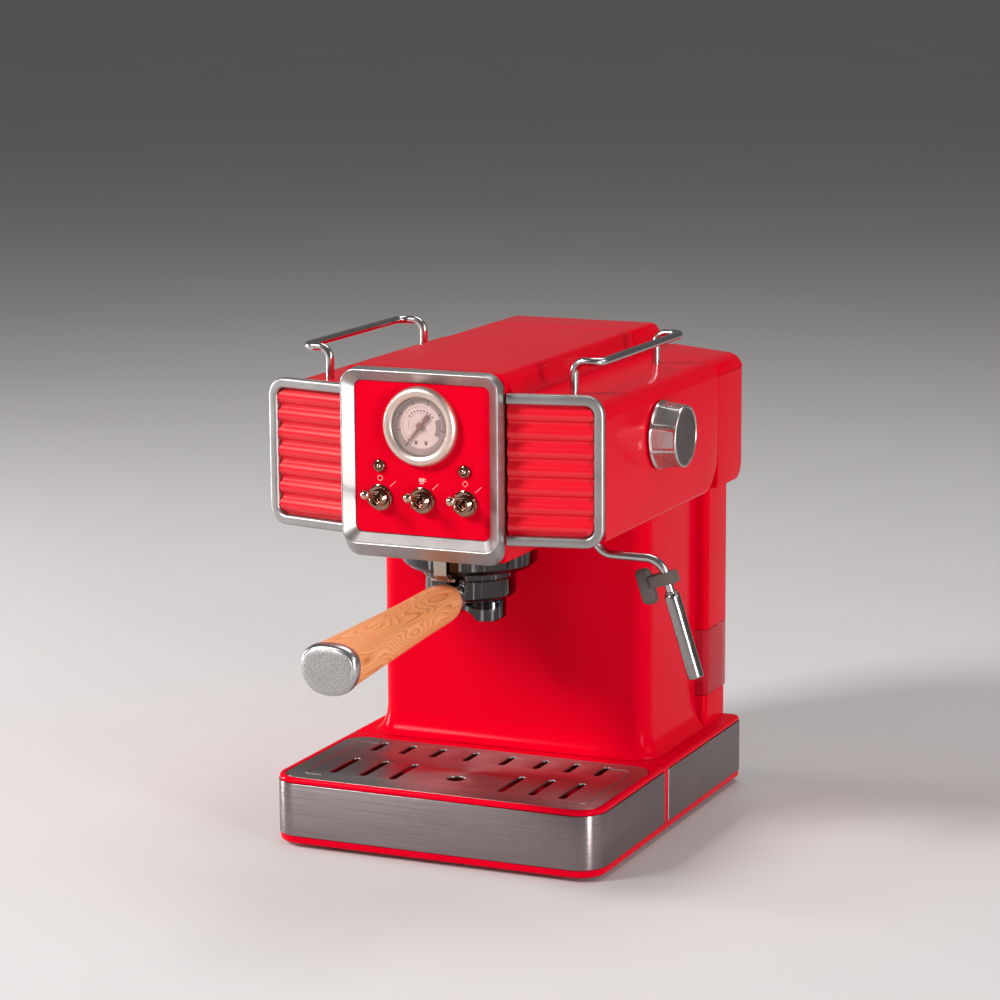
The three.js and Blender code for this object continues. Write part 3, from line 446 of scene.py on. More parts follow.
def oiled_wood(name):
    """Orange-tan wood, grain along y, with cathedral figure on its sides."""
    paint = Paint(name, Specular_IOR_Level=0.35, Coat_Weight=0.1, Coat_Roughness=0.25)
    warp = paint.noise((19, 88, 17), 1.0, 0.4)
    lift = paint.node("ShaderNodeCombineXYZ", {"Z": warp}).outputs["Vector"]
    tilted = paint.mapped((40, 300, 5.6), (0.0, 0.5, 0.0))
    shifted = paint.node("ShaderNodeVectorMath", {0: lift, 1: (0.0, 0.0, 6.0), 2: tilted},
                         operation="MULTIPLY_ADD").outputs["Vector"]
    sockets = {"Scale": 1.0, "Distortion": 0.0, "Detail": 0.0, "Vector": shifted}
    layers = paint.node("ShaderNodeTexWave", sockets, wave_type="BANDS", bands_direction="Z",
                        wave_profile="SAW").outputs["Fac"]
    fibre = paint.noise((0.5, 26, 0.5), 5, 0.65)
    pale, tan, dark = (0.9, 0.42, 0.19), (0.84, 0.33, 0.12), (0.58, 0.15, 0.03)
    figure = paint.blend(layers, (0.0, pale), (0.55, tan), (0.86, shade(tan, 0.86)), (0.97, dark))
    speck = paint.blend(fibre, (0.35, (0.84, 0.8, 0.77)), (0.6, (1.0, 1.0, 1.0)))
    both = paint.node("ShaderNodeMix", {0: 0.8}, data_type="RGBA", blend_type="MULTIPLY")
    for source, target in zip((figure, speck), [i for i in both.inputs if i.type == "RGBA"]):
        paint.tree.links.new(source, target)
    paint.colour(next(o for o in both.outputs if o.type == "RGBA"))
    paint.rough(paint.remap(fibre, 0.32, 0.52))
    paint.bump(fibre, 0.05, 0.7)
    return paint.bump(layers, 0.03, 0.4)


def hammered_silver(name, colour):
    """Cast face with a fine sparkle."""
    paint = Paint(name, Metallic=1.0)
    cell = paint.cells(0.75)
    fine = paint.noise(0.5, 4)
    paint.cloudy(cell, colour, 1.15, 0.7, (0.0, 0.7))
    paint.rough(paint.remap(fine, 0.32, 0.55))
    return paint.bump(paint.add(cell, fine, 0.8), 0.16, 0.9)


def board_green(name):
    """A circuit board with pale lines."""
    paint = Paint(name, Specular_IOR_Level=0.5)
    lines = paint.cells(3.0, "DISTANCE_TO_EDGE")
    paint.colour(paint.blend(lines, (0.02, (0.25, 0.4, 0.2)), (0.06, (0.01, 0.12, 0.04))))
    paint.rough(paint.remap(lines, 0.3, 0.5, 0.0, 0.2))
    return paint.bump(lines, 0.05, 0.5)


M = {
    "red": gloss_plastic("red_plastic"),
    "red_ribs": gloss_plastic("red_ribs", (0.26, 0.32), 0.8, (1.0, 0.72, 0.66)),
    "band": brushed("band_steel", STEEL, (80, 80, 0.3), (0.24, 0.34), 0.002, 0.85, 0.22),
    "grate": brushed("grate_steel", (0.38, 0.35, 0.35), (70, 0.14, 8), (0.34, 0.48), 0.01, 0.6),
    "knob": brushed("knob_steel", (0.62, 0.58, 0.57), (0.16, 14, 14), (0.22, 0.34), 0.006, 0.0, 0.25),
    "knob_face": brushed("knob_face_steel", (0.2, 0.165, 0.16), (4, 0.5, 9), (0.3, 0.45), 0.02, 0.0, 0.35),
    "sleeve": polished("sleeve_steel", (0.32, 0.295, 0.29), (0.16, 0.26), 5, 0.01),
    "silver": satin("satin_silver", (0.4, 0.38, 0.375), (0.36, 0.48), 0.5, 0.02),
    "chrome": polished("chrome", (0.6, 0.59, 0.59)),
    # Group, holder and spout: chrome painted dark with pale streaks, as painted reflections of dark
    # surroundings.
    "dark_chrome": painted_reflection_chrome("dark_chrome", (0.06, 0.055, 0.057), (0.34, 0.31, 0.31)),
    "tube": polished("tube_chrome", (0.52, 0.495, 0.49), (0.16, 0.26)),
    "gold": polished("gold_chrome", (0.6, 0.4, 0.31), (0.05, 0.13), 5),
    # A darker copy of the gold chrome for switch bodies and lamp rims: painted shade standing for the dark
    # surroundings they would reflect.
    "gold_painted_shade": polished("gold_chrome_painted_shade", (0.3, 0.165, 0.12), (0.05, 0.12), 5),
    "champagne": satin("champagne_metal", (0.8, 0.63, 0.56), (0.36, 0.46)),
    "dial": dull("dial_face", (0.62, 0.43, 0.4), (0.42, 0.55), 0.4, 0.004, 0.05),
    "dial_ring": dull("dial_ring", (0.36, 0.235, 0.215), (0.42, 0.55), 0.4, 0.004, 0.05),
    "clip": satin("clip_metal", (0.5, 0.43, 0.37), (0.25, 0.4)),
    "dial_dark": dull("dial_shadow_ring", (0.16, 0.11, 0.1), (0.5, 0.7), 0.4, 0.01),
    "print_dark": dull("dial_print", (0.06, 0.03, 0.025), (0.5, 0.7), 0.4, 0.003),
    "print_mid": dull("dial_print_grey", (0.26, 0.16, 0.145), (0.5, 0.7), 0.4, 0.003),
    "print_pink": dull("panel_print", (0.83, 0.36, 0.36), (0.4, 0.6), 0.4, 0.003, 0.06),
    "print_red": dull("side_print", (0.85, 0.3, 0.28), (0.4, 0.55), 0.4, 0.003, 0.06),
    "needle": dull("needle_brown", (0.19, 0.07, 0.05), (0.3, 0.5), 0.5, 0.004),
    "lens": clear("lens", (0.9, 0.85, 0.83), 0.04),
    "tank": clear("tank_clear", (0.6, 0.006, 0.025), 0.7, (0.04, 0.1), 0.002),
    "black": dull("black_plastic", (0.022, 0.021, 0.022), (0.45, 0.65)),
    "rubber": dull("black_rubber", (0.018, 0.018, 0.018), (0.7, 0.9), 0.8, 0.05),
    "grey_rubber": dull("grey_rubber", (0.1, 0.078, 0.07), (0.55, 0.8), 0.7, 0.05),
    "wood": oiled_wood("oiled_wood"),
    "hammered": hammered_silver("hammered_silver", (0.6, 0.58, 0.57)),
    "cap_rim": satin("cap_rim_silver", (0.5, 0.485, 0.48), (0.24, 0.34)),
    "brass": satin("brass", (0.62, 0.42, 0.17), (0.25, 0.4)),
    "board": board_green("circuit_board"),
}


# ---- camera, floor and light ----

CAMERA_PLACE = (831.826, -1894.291, 603.435)
CAMERA_TURNS = (23.924, 10.708, -0.353)  # azimuth, elevation and roll in degrees
CAMERA_LENS = 115.21
CAMERA_SENSOR = 36.0
FLOOR_HALF = 60.0  # metres


def add_camera():
    azimuth, elevation, roll = (math.radians(v) for v in CAMERA_TURNS)
    level = math.cos(elevation)
    back = Vector((math.sin(azimuth) * level, -math.cos(azimuth) * level, math.sin(elevation)))
    right = (-back).cross(Vector((0, 0, 1))).normalized()
    up = right.cross(-back).normalized()
    right, up = right * math.cos(roll) + up * math.sin(roll), up * math.cos(roll) - right * math.sin(roll)
    data = bpy.data.cameras.new("camera")
    data.lens = CAMERA_LENS
    data.sensor_width = CAMERA_SENSOR
    data.clip_start, data.clip_end = 0.05, 200.0
    camera = link(bpy.data.objects.new("camera", data))
    place = (Vector(CAMERA_PLACE) + ORIGIN) * MM
    camera.matrix_world = Matrix.Translation(place) @ Matrix((right, up, back)).transposed().to_4x4()
    bpy.context.scene.camera = camera


def add_floor():
    bm = bmesh.new()
    bmesh.ops.create_grid(bm, x_segments=1, y_segments=1, size=FLOOR_HALF)
    mesh = bpy.data.meshes.new("floor")
    bm.to_mesh(mesh)
    bm.free()
    floor = link(bpy.data.objects.new("floor", mesh))
    paint = Paint("floor", Roughness=0.75, Specular_IOR_Level=0.2)
    paint.colour(paint.blend(paint.noise(400, 2), (0.3, (0.58, 0.565, 0.56)), (0.7, (0.6, 0.585, 0.58))))
    floor.data.materials.append(paint.material)


def add_light(name, place, size, power):
    """A soft rectangular light that points at the middle of the machine. Places and sizes are in metres."""
    data = bpy.data.lights.new(name, "AREA")
    data.shape = "RECTANGLE"
    data.size, data.size_y = size
    data.energy = power
    light = link(bpy.data.objects.new(name, data))
    light.location = place
    light.rotation_euler = (Vector((0.0, 0.0, 0.18)) - Vector(place)).to_track_quat("-Z", "Y").to_euler()


def add_lights():
    world = bpy.data.worlds.new("studio")
    world.use_nodes = True
    background = world.node_tree.nodes["Background"]
    background.inputs["Color"].default_value = (0.9, 0.87, 0.86, 1)
    background.inputs["Strength"].default_value = 0.15
    bpy.context.scene.world = world
    add_light("key", (-1.45, -1.7, 1.75), (0.6, 0.6), 72)
    add_light("left_strip", (-1.9, 0.0, 0.36), (0.3, 0.7), 24)
    add_light("right_strip", (1.7, -1.0, 0.36), (0.3, 0.7), 22)
    add_light("side", (2.2, 0.1, 1.3), (1.2, 1.0), 12)
    add_light("top", (0.1, 0.9, 2.2), (1.4, 0.8), 18)


add_camera()
add_floor()
add_lights()
bpy.context.scene.view_settings.view_transform = "Standard"


# ---- base and drip tray ----

GAP = 0.3  # between pieces that touch
BASE = {"half": 114, "front": -133, "rear": 133, "corner": 19, "rear_corner": 5, "under": 3, "top": 46.5}
BAND = {"low": 8.3, "high": 43, "thick": 1.2}
SPLIT = {"tray": -11.2, "body": -10.6, "strip": 3.6}  # where tray and body meet; the red strips' width
GRATE = {"half": 109, "front": -128.3, "rear": -19.7, "corner": 14.5, "thick": 1.5, "top": 46.3}
SLOTS = ((-90, 38, (38, 59, 80)), (-40, 22, (13, 37, 59, 80)))  # y, length and the x of each pair of slots
SLOT_WIDTH = 5
FINGER_HOLE = (0, -91.5, 6.2)
BEAD = {"x": 98, "inner": 84, "inset": 12, "half": 1.1, "high": 0.55}  # pressed in the grate's ends
TANK = {"half": 103, "front": 93, "rear": 132.6, "bottom": 67.6, "window": 113, "corner": 4, "wall": 2}


def whole_plan(d):
    r, rear = BASE["corner"] - d, BASE["rear_corner"] - d / 2
    x = BASE["half"] - d
    return rounded(-x, x, BASE["front"] + d, BASE["rear"] - d, (r, r, rear, rear), 10)


def rear_plan(d):
    rear = BASE["rear_corner"] - d / 2
    x = BASE["half"] - d
    return rounded(-x, x, SPLIT["body"], BASE["rear"] - d, (1, 1, rear, rear), 10)


def front_plan(d, rear=SPLIT["tray"]):
    r = BASE["corner"] - d
    x = BASE["half"] - d
    return rounded(-x, x, BASE["front"] + d, rear, (r, r, 1, 1), 10)


def flange_levels(start):
    """The body recessed for the steel band, then the flange over it with its rounded top edge."""
    inset, lip = BAND["thick"] + GAP, BAND["high"] + GAP
    edge = [(-1.6, 0.5), (-0.9, 0.72), (-0.3, 1.25), (0, 2.1)]
    return [(start, inset), (lip, inset), (lip, 0.9), (lip + 0.3, 0.5)] + offset(BASE["top"], 0, *edge)


def add_strips(bm, y0, low):
    """The red strips on both sides between the steel bands."""
    for _, sign in SIDES:
        x0, x1 = sorted((sign * (BASE["half"] - 0.5), sign * (BASE["half"] - 3)))
        add_block(bm, x0, x1, y0, y0 + SPLIT["strip"] - GAP, low, BAND["high"] + 0.6, 0.3)


def make_base():
    bm = bmesh.new()
    under = offset(BASE["under"], 0, (0, 2.2), (0.35, 1.2), (1.1, 0.6), (1.8, 0.5))
    add_loft(bm, stack(whole_plan, under + [(7.6, 0.5), (7.9, 0.9)]))
    add_loft(bm, stack(rear_plan, flange_levels(7.9)))
    add_strips(bm, SPLIT["body"], 7.8)
    x = TANK["half"] - 1
    seat = shrinking(-x, x, TANK["front"] + 0.5, TANK["rear"] - 0.5, TANK["corner"])
    top = TANK["bottom"] - GAP
    add_loft(bm, stack(seat, [(BASE["top"] - 0.6, 0), (top - 0.8, 0), (top - 0.25, 0.25), (top, 0.8)]))
    fit(finish_mesh("base_body", bm), "base", "red", "red_plastic", "base_shell")


def band_outline(cut_y):
    """The steel band round the tray: a U-shaped strip, open towards +y at cut_y."""
    def around(inset):
        x = BASE["half"] - inset
        return [(-x, cut_y)] + [p for p in front_plan(inset, 0) if p[1] < cut_y] + [(x, cut_y)]
    return around(0) + around(BAND["thick"])[::-1]


def make_tray():
    g = GRATE
    recess = shrinking(-g["half"], g["half"], g["front"], g["rear"], g["corner"])
    well = shrinking(-104, 104, -124, -25, 12)
    ledge = g["top"] - g["thick"] - GAP
    rings = stack(front_plan, flange_levels(8.2))
    rings += stack(recess, offset(BASE["top"], 0, (0, -1.1), (-0.25, -0.6), (-0.8, -0.4)) + [(ledge, -0.4)])
    rings += stack(well, [(ledge, 0), (ledge - 0.5, 0.4), (14, 1), (12, 2), (11, 4)])
    bm = bmesh.new()
    add_loft(bm, rings)
    cut_y = SPLIT["tray"] - SPLIT["strip"]
    add_strips(bm, cut_y + GAP, 8.2)
    fit(finish_mesh("tray_body", bm), "tray", "red", "red_plastic", "drip_tray")
    bm = bmesh.new()
    add_plate(bm, [band_outline(cut_y)], BAND["low"], BAND["high"], 0.25)
    fit(finish_mesh("tray_band", bm), "tray", "band", "brushed_steel", "drip_tray_band")


def make_grate():
    g = GRATE
    outer = rounded(-g["half"], g["half"], g["front"], g["rear"], g["corner"], 12)
    outlines = [outer, circle(*FINGER_HOLE, 36)]
    w = SLOT_WIDTH / 2
    for _, sign in SIDES:
        for y, length, places in SLOTS:
            h = length / 2
            outlines += [rounded(sign * x - w, sign * x + w, y - h, y + h, w - 0.01, 6) for x in places]
    bm = bmesh.new()
    add_plate(bm, outlines, g["top"] - g["thick"], g["top"], 0.35)
    section = [(BEAD["half"] * c, BEAD["high"] * s) for c, s in circle(0, 0, 1, 12)]
    y0, y1, z = g["front"] + BEAD["inset"], g["rear"] - BEAD["inset"], g["top"] - 0.15
    for _, sign in SIDES:
        x, inner = sign * BEAD["x"], sign * BEAD["inner"]
        path = round_path([(inner, y0, z), (x, y0, z), (x, y1, z), (inner, y1, z)], 8, 6)
        add_sweep(bm, path, section, (0, 0, 1))
    fit(finish_mesh("grate_plate", bm), "grate", "grate", "brushed_steel", "drip_grate")


def make_feet():
    for node in [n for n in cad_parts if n.startswith("foot_")]:
        low, high, middle = node_box(node)
        r = (high[0] - low[0]) / 2
        side = offset(r, 0, (-3, 0.5), (-2.4, 0), (-1, 0), (-0.3, 0.3), (0, 1), (0, 2.7))
        pad = turned(f"{node}_pad", [(0, 0.5)] + side + [(0, 2.7)], (middle[0], middle[1], low[2]))
        fit(pad, "base", "rubber", "black_rubber", node)
    _, _, middle = node_box("cord_gland")
    profile = [(3.6, -12), (6.7, -12), (6.7, 0.2), (9.1, 0.2), (9.5, 0.6), (9.5, 1.5), (9.1, 1.9), (7, 2.9),
               (6.2, 4), (5.2, 4.2), (3.6, 4), (3.6, -12)]
    grommet = turned("cord_grommet", profile, (middle[0], BASE["rear"] - 0.1, middle[2]), (0, 1, 0))
    fit(grommet, "base", "rubber", "black_rubber", "cord_gland")


# ---- column, head and crown ----

COLUMN = {"half": 96, "front": -2, "rear": 91, "corner": 12, "flare": 9, "flare_high": 20}
HEAD = {"half": 114, "bottom": 213.6, "shoulder": 303, "edge_z": 299.5, "rear": 80.4, "edge": 11,
        "rear_corner": 22}
NOSE = {"half": 52, "front": -129.5, "rear": -14, "bottom": 198.3}
CROWN = {"half": 54, "foot": 65, "top": 317, "rear": 79.4, "edge": 5}
WING = {"inner": 54.6, "outer": 113.8, "y_inner": -130, "y_outer": -117.6, "low": 210.6, "high": 305.2,
        "bar": 6.5, "crest": 4.6, "bend": 9, "ribs": 7, "rib_corner": 6.5}


def make_column():
    c = COLUMN

    def plan(d):
        r = c["corner"] + d
        return rounded(-c["half"] - d, c["half"] + d, c["front"] - d, c["rear"], (r, r, 3, 3), 10)

    foot = BASE["top"] + GAP
    rings = [at_height(plan(c["flare"] * (1 - s)), foot + c["flare_high"] * drop) for s, drop in quarter(14)]
    rings.append(at_height(plan(0), HEAD["bottom"] - GAP))
    fit(loft("column_body", rings), "base", "red", "red_plastic", "column_shell")


def head_outline(low):
    """The head from the front, from low up, with round lower corners and soft, sloping shoulders."""
    x, round_low = HEAD["half"], 3.5
    edge_z, edge = HEAD["edge_z"], HEAD["edge"]
    half = [(x - round_low, low)]
    half += curve_through((x - round_low, low), (x, low), (x, low + round_low), 5)
    half += [(x, edge_z - edge)]
    half += curve_through((x, edge_z - edge), (x, edge_z), (x - edge, edge_z + 0.15), 10)
    return mirrored(half + [(CROWN["foot"] + 3, HEAD["shoulder"])])


def head_front(x):
    """The swept-back front of the head at a given x."""
    reach = (abs(x) - WING["inner"]) / (HEAD["half"] - WING["inner"])
    return WING["y_inner"] + GAP + max(0.0, reach) * (WING["y_outer"] - WING["y_inner"])


def make_head():
    rear, corner, bottom = HEAD["rear"], HEAD["rear_corner"], HEAD["bottom"]
    outline = head_outline(bottom)
    rings = [[(x, head_front(x), z) for x, z in outline]]
    rings += [at_depth(outline, -100), at_depth(outline, rear - corner)]
    for i, (s, rise) in list(enumerate(quarter()))[1:]:
        y = min(rear - corner + corner * s, rear - 0.001 * (10 - i))
        rings.append(at_depth(head_outline(bottom + corner * rise), y))
    bm = bmesh.new()
    add_loft(bm, rings)

    def nose(d):
        x = NOSE["half"] - d
        return rounded(-x, x, NOSE["front"] + d, NOSE["rear"] - d, (2, 2, 14, 14), 10)

    levels = offset(NOSE["bottom"], 0, (0, 1.4), (0.4, 0.5), (1.2, 0)) + [(216, 0)]
    add_loft(bm, stack(nose, levels))
    fit(finish_mesh("head_body", bm, 30), "base", "red", "red_plastic", "head_shell")


def crown_outline(foot, low, top=CROWN["top"]):
    """The crown seen from the front: a hollow curve up from the shoulder, then a small round edge."""
    x, edge = CROWN["half"], CROWN["edge"]
    half = [(foot, low)]
    if foot > x + 2:
        half += curve_through((foot, low), (x + 1, low + 1), (x, top - edge), 12)
    else:
        half += [(x - 0.0001 * k, low + (top - edge - low) * k / 12) for k in range(1, 13)]
    return mirrored(half + curve_through((x, top - edge), (x - 0.5, top), (x - edge, top), 8))


def make_crown():
    low = HEAD["shoulder"] + GAP
    wing = WING["y_inner"] + 2.8
    outline = crown_outline(CROWN["foot"], low - 1.2)
    narrow = crown_outline(CROWN["half"], low)
    bm = bmesh.new()
    add_loft(bm, [at_depth(outline, y) for y in (wing, -60, 0, CROWN["rear"] - 0.4, CROWN["rear"])])
    add_loft(bm, [at_depth(narrow, y) for y in (-132.7, wing + 0.5)])
    fit(finish_mesh("crown_body", bm, 30), "base", "red", "red_plastic", "crown_cover")


# ---- front panel ----

FRAME = {"half": 53.4, "low": 206, "high": 316.6, "face": -142.8, "back": -133, "corner": 10, "bevel": 7.4,
         "depth": 5, "corner_inside": 4.9, "chin": 7.6}
PANEL = {"face": -137.2, "thick": 2.4}
GAUGE = {"z": 282.5, "radius": 25, "lip": 18.7, "seat": 20.2, "pointer": -141}
LAMP = {"x": 29, "z": 256, "radius": 4}
SWITCH = {"z": 236, "pivot": -140.4, "reach": 18.6, "tilt": 16, "nut": 8.2, "bushing": 5.6, "ball": 3.1}
SWITCHES = (("left", -29), ("middle", 0), ("right", 29))
MARKS_Z = 248.2


def make_frame():
    """The centre frame as a loop of rings, from its back inside, over its face, to its back outside."""
    f = FRAME
    face, foot, back, chin = f["face"], f["face"] + f["depth"], f["back"], f["chin"]
    b, c, inner = f["bevel"], f["corner"], f["corner_inside"]
    sections = [  # y, how far out, how far the lower bar reaches down, corner radius
        (back, -b, 0, inner), (foot, -b, 0, inner), (foot - 0.4, -b + 0.35, 0, inner + 0.3),
        (face + 1.1, -1.95, 0, c - 1.9), (face + 0.55, -1.45, 0, c - 1.4), (face + 0.15, -1.05, 0, c - 1.0),
        (face, -0.75, 0, c - 0.7), (face + 0.06, -0.4, 0, c - 0.4), (face + 0.3, -0.12, 0, c - 0.1),
        (face + 0.7, 0.02, 0.3, c), (face + 3, 0.5, chin * 0.42, c + 0.5),
        (back - 3.0, 0.8, chin * 0.96, c + 0.8), (back - 1.4, 0.85, chin, c + 0.8),
        (back, 0.4, chin - 0.8, c + 0.4),
    ]
    rings = []
    for y, grow, drop, r in sections:
        x = f["half"] + grow
        rings.append(at_depth(rounded(-x, x, f["low"] - grow - drop, f["high"] + grow, r, 14), y))
    fit(loft("front_frame", rings, True, 32), "base", "silver", "satin_silver", "centre_frame")


def mark_block(bm, x, z, w, h, turn=0.0, lift=0.05, face=PANEL["face"]):
    """A flat printed bar."""
    c, s = math.cos(turn), math.sin(turn)
    corners = [(-w / 2, -h / 2), (w / 2, -h / 2), (w / 2, h / 2), (-w / 2, h / 2)]
    outline = [(x + u * c - v * s, z + u * s + v * c) for u, v in corners]
    add_loft(bm, [at_depth(outline, face + 0.05), at_depth(outline, face - lift)])


def mark_path(bm, points, w, face=PANEL["face"], lift=0.05, loop=True):
    """A flat printed line through x, z points."""
    section = [(-w / 2, -lift), (w / 2, -lift), (w / 2, lift), (-w / 2, lift)]
    add_sweep(bm, [Vector(p) for p in at_depth(points, face)], section, FORWARD, loop)


def make_panel_marks():
    """Plain pictograms over the switches: a ring for power, a cup for coffee, a diamond for steam."""
    bm = bmesh.new()
    z = MARKS_Z
    mark_path(bm, circle(-LAMP["x"], z, 1.6, 20), 0.4)
    mark_path(bm, offset(LAMP["x"], z, (1.9, 0), (0, 1.9), (-1.9, 0), (0, -1.9)), 0.4)
    mark_block(bm, -0.5, z + 0.4, 3.4, 2.4)
    mark_block(bm, -0.5, z - 1.6, 2.4, 0.7)
    mark_path(bm, offset(0, z, (1.2, 1.2), (2.3, 1.1), (2.4, -0.1), (1.2, -0.4)), 0.4, loop=False)
    for _, x in SWITCHES:
        mark_block(bm, x + 8.8, z - 3.2, 0.35, 5.6, math.radians(-48))
    fit(finish_mesh("panel_pictograms", bm), "base", "print_pink", "satin_silver")


def make_wings():
    """The swept-back side frames, and the ribbed panels in them."""
    angle = math.atan2(WING["y_outer"] - WING["y_inner"], WING["outer"] - WING["inner"])
    along = Vector((math.cos(angle), math.sin(angle), 0))
    out = Vector((along.y, -along.x, 0))
    start = Vector((WING["inner"], WING["y_inner"], WING["low"]))
    width, height = (WING["outer"] - WING["inner"]) / math.cos(angle), WING["high"] - WING["low"]
    middle, crest = WING["bar"] / 2, WING["crest"]

    corners = [(0, height - middle, 0), (width - middle, height - middle, 0), (width - middle, middle, 0),
               (0, middle, 0)]
    flat = round_path(corners, WING["bend"], 10)
    crown = [(1.0, 0.55), (0.93, 0.8), (0.72, 0.96), (0.4, 1.0), (0.0, 1.0)]
    half = [(middle, 0)] + [(middle * a, crest * b) for a, b in crown]
    section = [(-s, u) for s, u in half] + half[-2::-1]

    low, top = WING["bar"] + GAP, height - WING["bar"] - GAP
    inner, end = 0.2, width - WING["bar"] - GAP
    ribs = []
    for step in range(WING["ribs"] * 12 + 1):
        t = step / 12 % 1
        swell = max(0.0, math.sin(math.pi * min(1, max(0, (t - 0.06) / 0.88))))
        ribs.append((low + (top - low) / WING["ribs"] * step / 12, 0.4 + 2.9 * swell ** 0.9))

    def reach(v):
        """How far out a rib runs at a height, so that the panel's outer corners are round."""
        r, edge = WING["rib_corner"], min(v - low, top - v)
        return end if edge >= r else end - r + math.sqrt(max(0.0, r * r - (r - edge) ** 2))

    for side, sign in SIDES:
        def place(u, v, w):
            p = start + along * u + out * w + Vector((0, 0, v))
            return Vector((sign * p.x, p.y, p.z))

        path = [place(p.x, p.y, 0) for p in flat]
        bar = sweep(f"wing_frame_{side}", path, section, (sign * out.x, out.y, 0))
        fit(bar, "base", "silver", "satin_silver", f"side_frame_{side}")
        rings = []
        for v, w in ribs:
            run = reach(v) - inner
            rings.append([place(inner + run * c / 10, v, w) for c in range(11)])
            rings[-1] += [place(inner + run, v, 0), place(inner, v, 0)]
        fit(loft(f"ribs_{side}", rings, smooth=45), "base", "red_ribs", "red_plastic", f"rib_panel_{side}")


def make_gauge():
    front, z = PANEL["face"] - GAP, GAUGE["z"]
    r, lip, seat = GAUGE["radius"], GAUGE["lip"], GAUGE["seat"]

    def ring(name, profile, paint, slot, *nodes):
        fit(turned(name, profile, (0, front, z), FORWARD, 96), "base", paint, slot, *nodes)

    outside = [(-0.3, 0), (0, 0.4), (0, 2.8), (-0.25, 3.7), (-0.8, 4.6), (-1.7, 5.4), (-2.8, 5.8),
               (-4.0, 5.75), (-5.0, 5.4)]
    inside = [(lip + 0.5, 4.9), (lip, 4.5), (lip, 4.4), (seat, 4.4), (seat, 0)]
    bezel = [(seat, 0)] + offset(r, 0, *outside) + inside
    ring("gauge_ring", bezel, "champagne", "champagne_metal", "gauge_bezel")
    shadow = offset(seat, 0, (-0.5, 1.15), (-0.4, 1.1), (-0.4, 3.5), (-1.3, 3.5))
    ring("gauge_inner_ring", shadow + [(lip - 0.9, 1.15), shadow[0]], "dial_dark", "black_plastic")
    disc = [(1.3, 0.3), (seat - 0.4, 0.3), (seat - 0.4, 1.1), (1.3, 1.1), (1.3, 0.3)]
    ring("gauge_face", disc, "dial", "dial_face", "gauge_dial")
    glass = [(0, 3.6), (seat - 0.4, 3.6), (seat - 0.4, 4.3), (0, 4.3)]
    ring("gauge_glass", glass, "lens", "clear_lens", "gauge_lens")
    scale = [(13.9, 1.1), (17.6, 1.1), (17.6, 1.13), (13.9, 1.13), (13.9, 1.1)]
    ring("gauge_scale_ring", scale, "dial_ring", "dial_face")

    face = front - 1.1
    bm = bmesh.new()

    def tick(angle, radius, w, h, lift=0.03):
        """A printed bar that points at the middle, at an angle in degrees clockwise from the top."""
        a = math.radians(angle)
        mark_block(bm, radius * math.sin(a), z + radius * math.cos(a), w, h, -a, lift, face)

    for i in range(49):
        w, length = (0.4, 2.2) if i % 8 else (0.7, 3.2)
        tick(GAUGE["pointer"] + 5 * i, 17.2 - length / 2, w, length, 0.06)
    for k in range(9):
        tick(-52 + 13 * k, 9.9, 1.2, 0.9)
    for x in (-3.4, 3.4):
        mark_block(bm, x, z - 10.6, 1.7, 1.7, 0, 0.03, face)
        mark_block(bm, x, z - 9.3, 2.4, 0.5, 0, 0.03, face)
    mark_block(bm, -8.6, z - 8.6, 1.6, 0.5, math.radians(-35), 0.03, face)
    fit(finish_mesh("gauge_marks", bm), "base", "print_dark", "black_plastic")

    bm = bmesh.new()
    arcs = ((8.4, 0.3, -105, 62, 0.03), (12.4, 0.3, -128, 20, 0.03), (12.0, 3.6, 68, 118, 0.04),
            (7.4, 3.2, 28, 50, 0.03))
    for radius, w, start, stop, lift in arcs:
        steps = max(4, int(abs(stop - start) / 6))
        turns = [math.radians(start + (stop - start) * i / steps) for i in range(steps + 1)]
        points = [(radius * math.sin(a), z + radius * math.cos(a)) for a in turns]
        mark_path(bm, points, w, face, lift, False)
    fit(finish_mesh("gauge_arcs", bm), "base", "print_mid", "black_plastic")

    bm = bmesh.new()
    hub = [(0, -3), (1, -3), (1, 1.5), (2.2, 1.5), (2.6, 1.7), (2.6, 2.5), (2.2, 2.9), (0, 3.1)]
    add_turned(bm, hub, (0, front, z), FORWARD, 40)
    half = [(1.6, -8), (1.6, -5.2), (0.8, -3), (0.8, 0), (0.62, 8), (0.28, 14.6)]
    turn = math.radians(GAUGE["pointer"])
    c, s = math.cos(turn), math.sin(turn)
    outline = [(u * c + v * s, z - u * s + v * c) for u, v in mirrored(half)]
    add_loft(bm, [at_depth(outline, front - 1.8), at_depth(outline, front - 2.4)])
    fit(finish_mesh("gauge_pointer_arm", bm), "needle", "needle", "black_plastic", "gauge_needle")


def make_lamps():
    for side, sign in SIDES:
        centre = (sign * LAMP["x"], PANEL["face"] - GAP, LAMP["z"])
        rim = offset(LAMP["radius"], 0, (-0.2, 0), (0, 0.3), (0, 1.0), (-0.3, 1.6), (-0.9, 2.0))
        profile = [(2.6, -12), (2.7, 0)] + rim + [(2.5, 2.0), (2.2, 1.5), (2.2, -12), (2.6, -12)]
        ring = turned(f"lamp_rim_{side}", profile, centre, FORWARD, 40)
        # The lamp rim takes the darker gold copy: painted shade.
        fit(ring, "base", "gold_painted_shade", "chrome", f"lamp_{side}")
        dome = [(0, -11), (2.1, -11), (2.1, 1.4), (1.8, 2.3), (1.2, 3.0), (0.6, 3.3), (0, 3.4)]
        fit(turned(f"lamp_dome_{side}", dome, centre, FORWARD, 32), "base", "gold", "clear_lens")


def hexagon(x, y, z, radius, soft):
    """A hexagon in the x, z plane whose corners are cut back to a circle of radius soft."""
    count, sixth = 72, math.pi / 3
    points = []
    for i in range(count):
        a = 2 * math.pi * i / count
        flat = radius * math.cos(sixth / 2) / math.cos((a - sixth / 2) % sixth - sixth / 2)
        reach = min(flat, soft)
        points.append((x + reach * math.cos(a), y, z + reach * math.sin(a)))
    return points


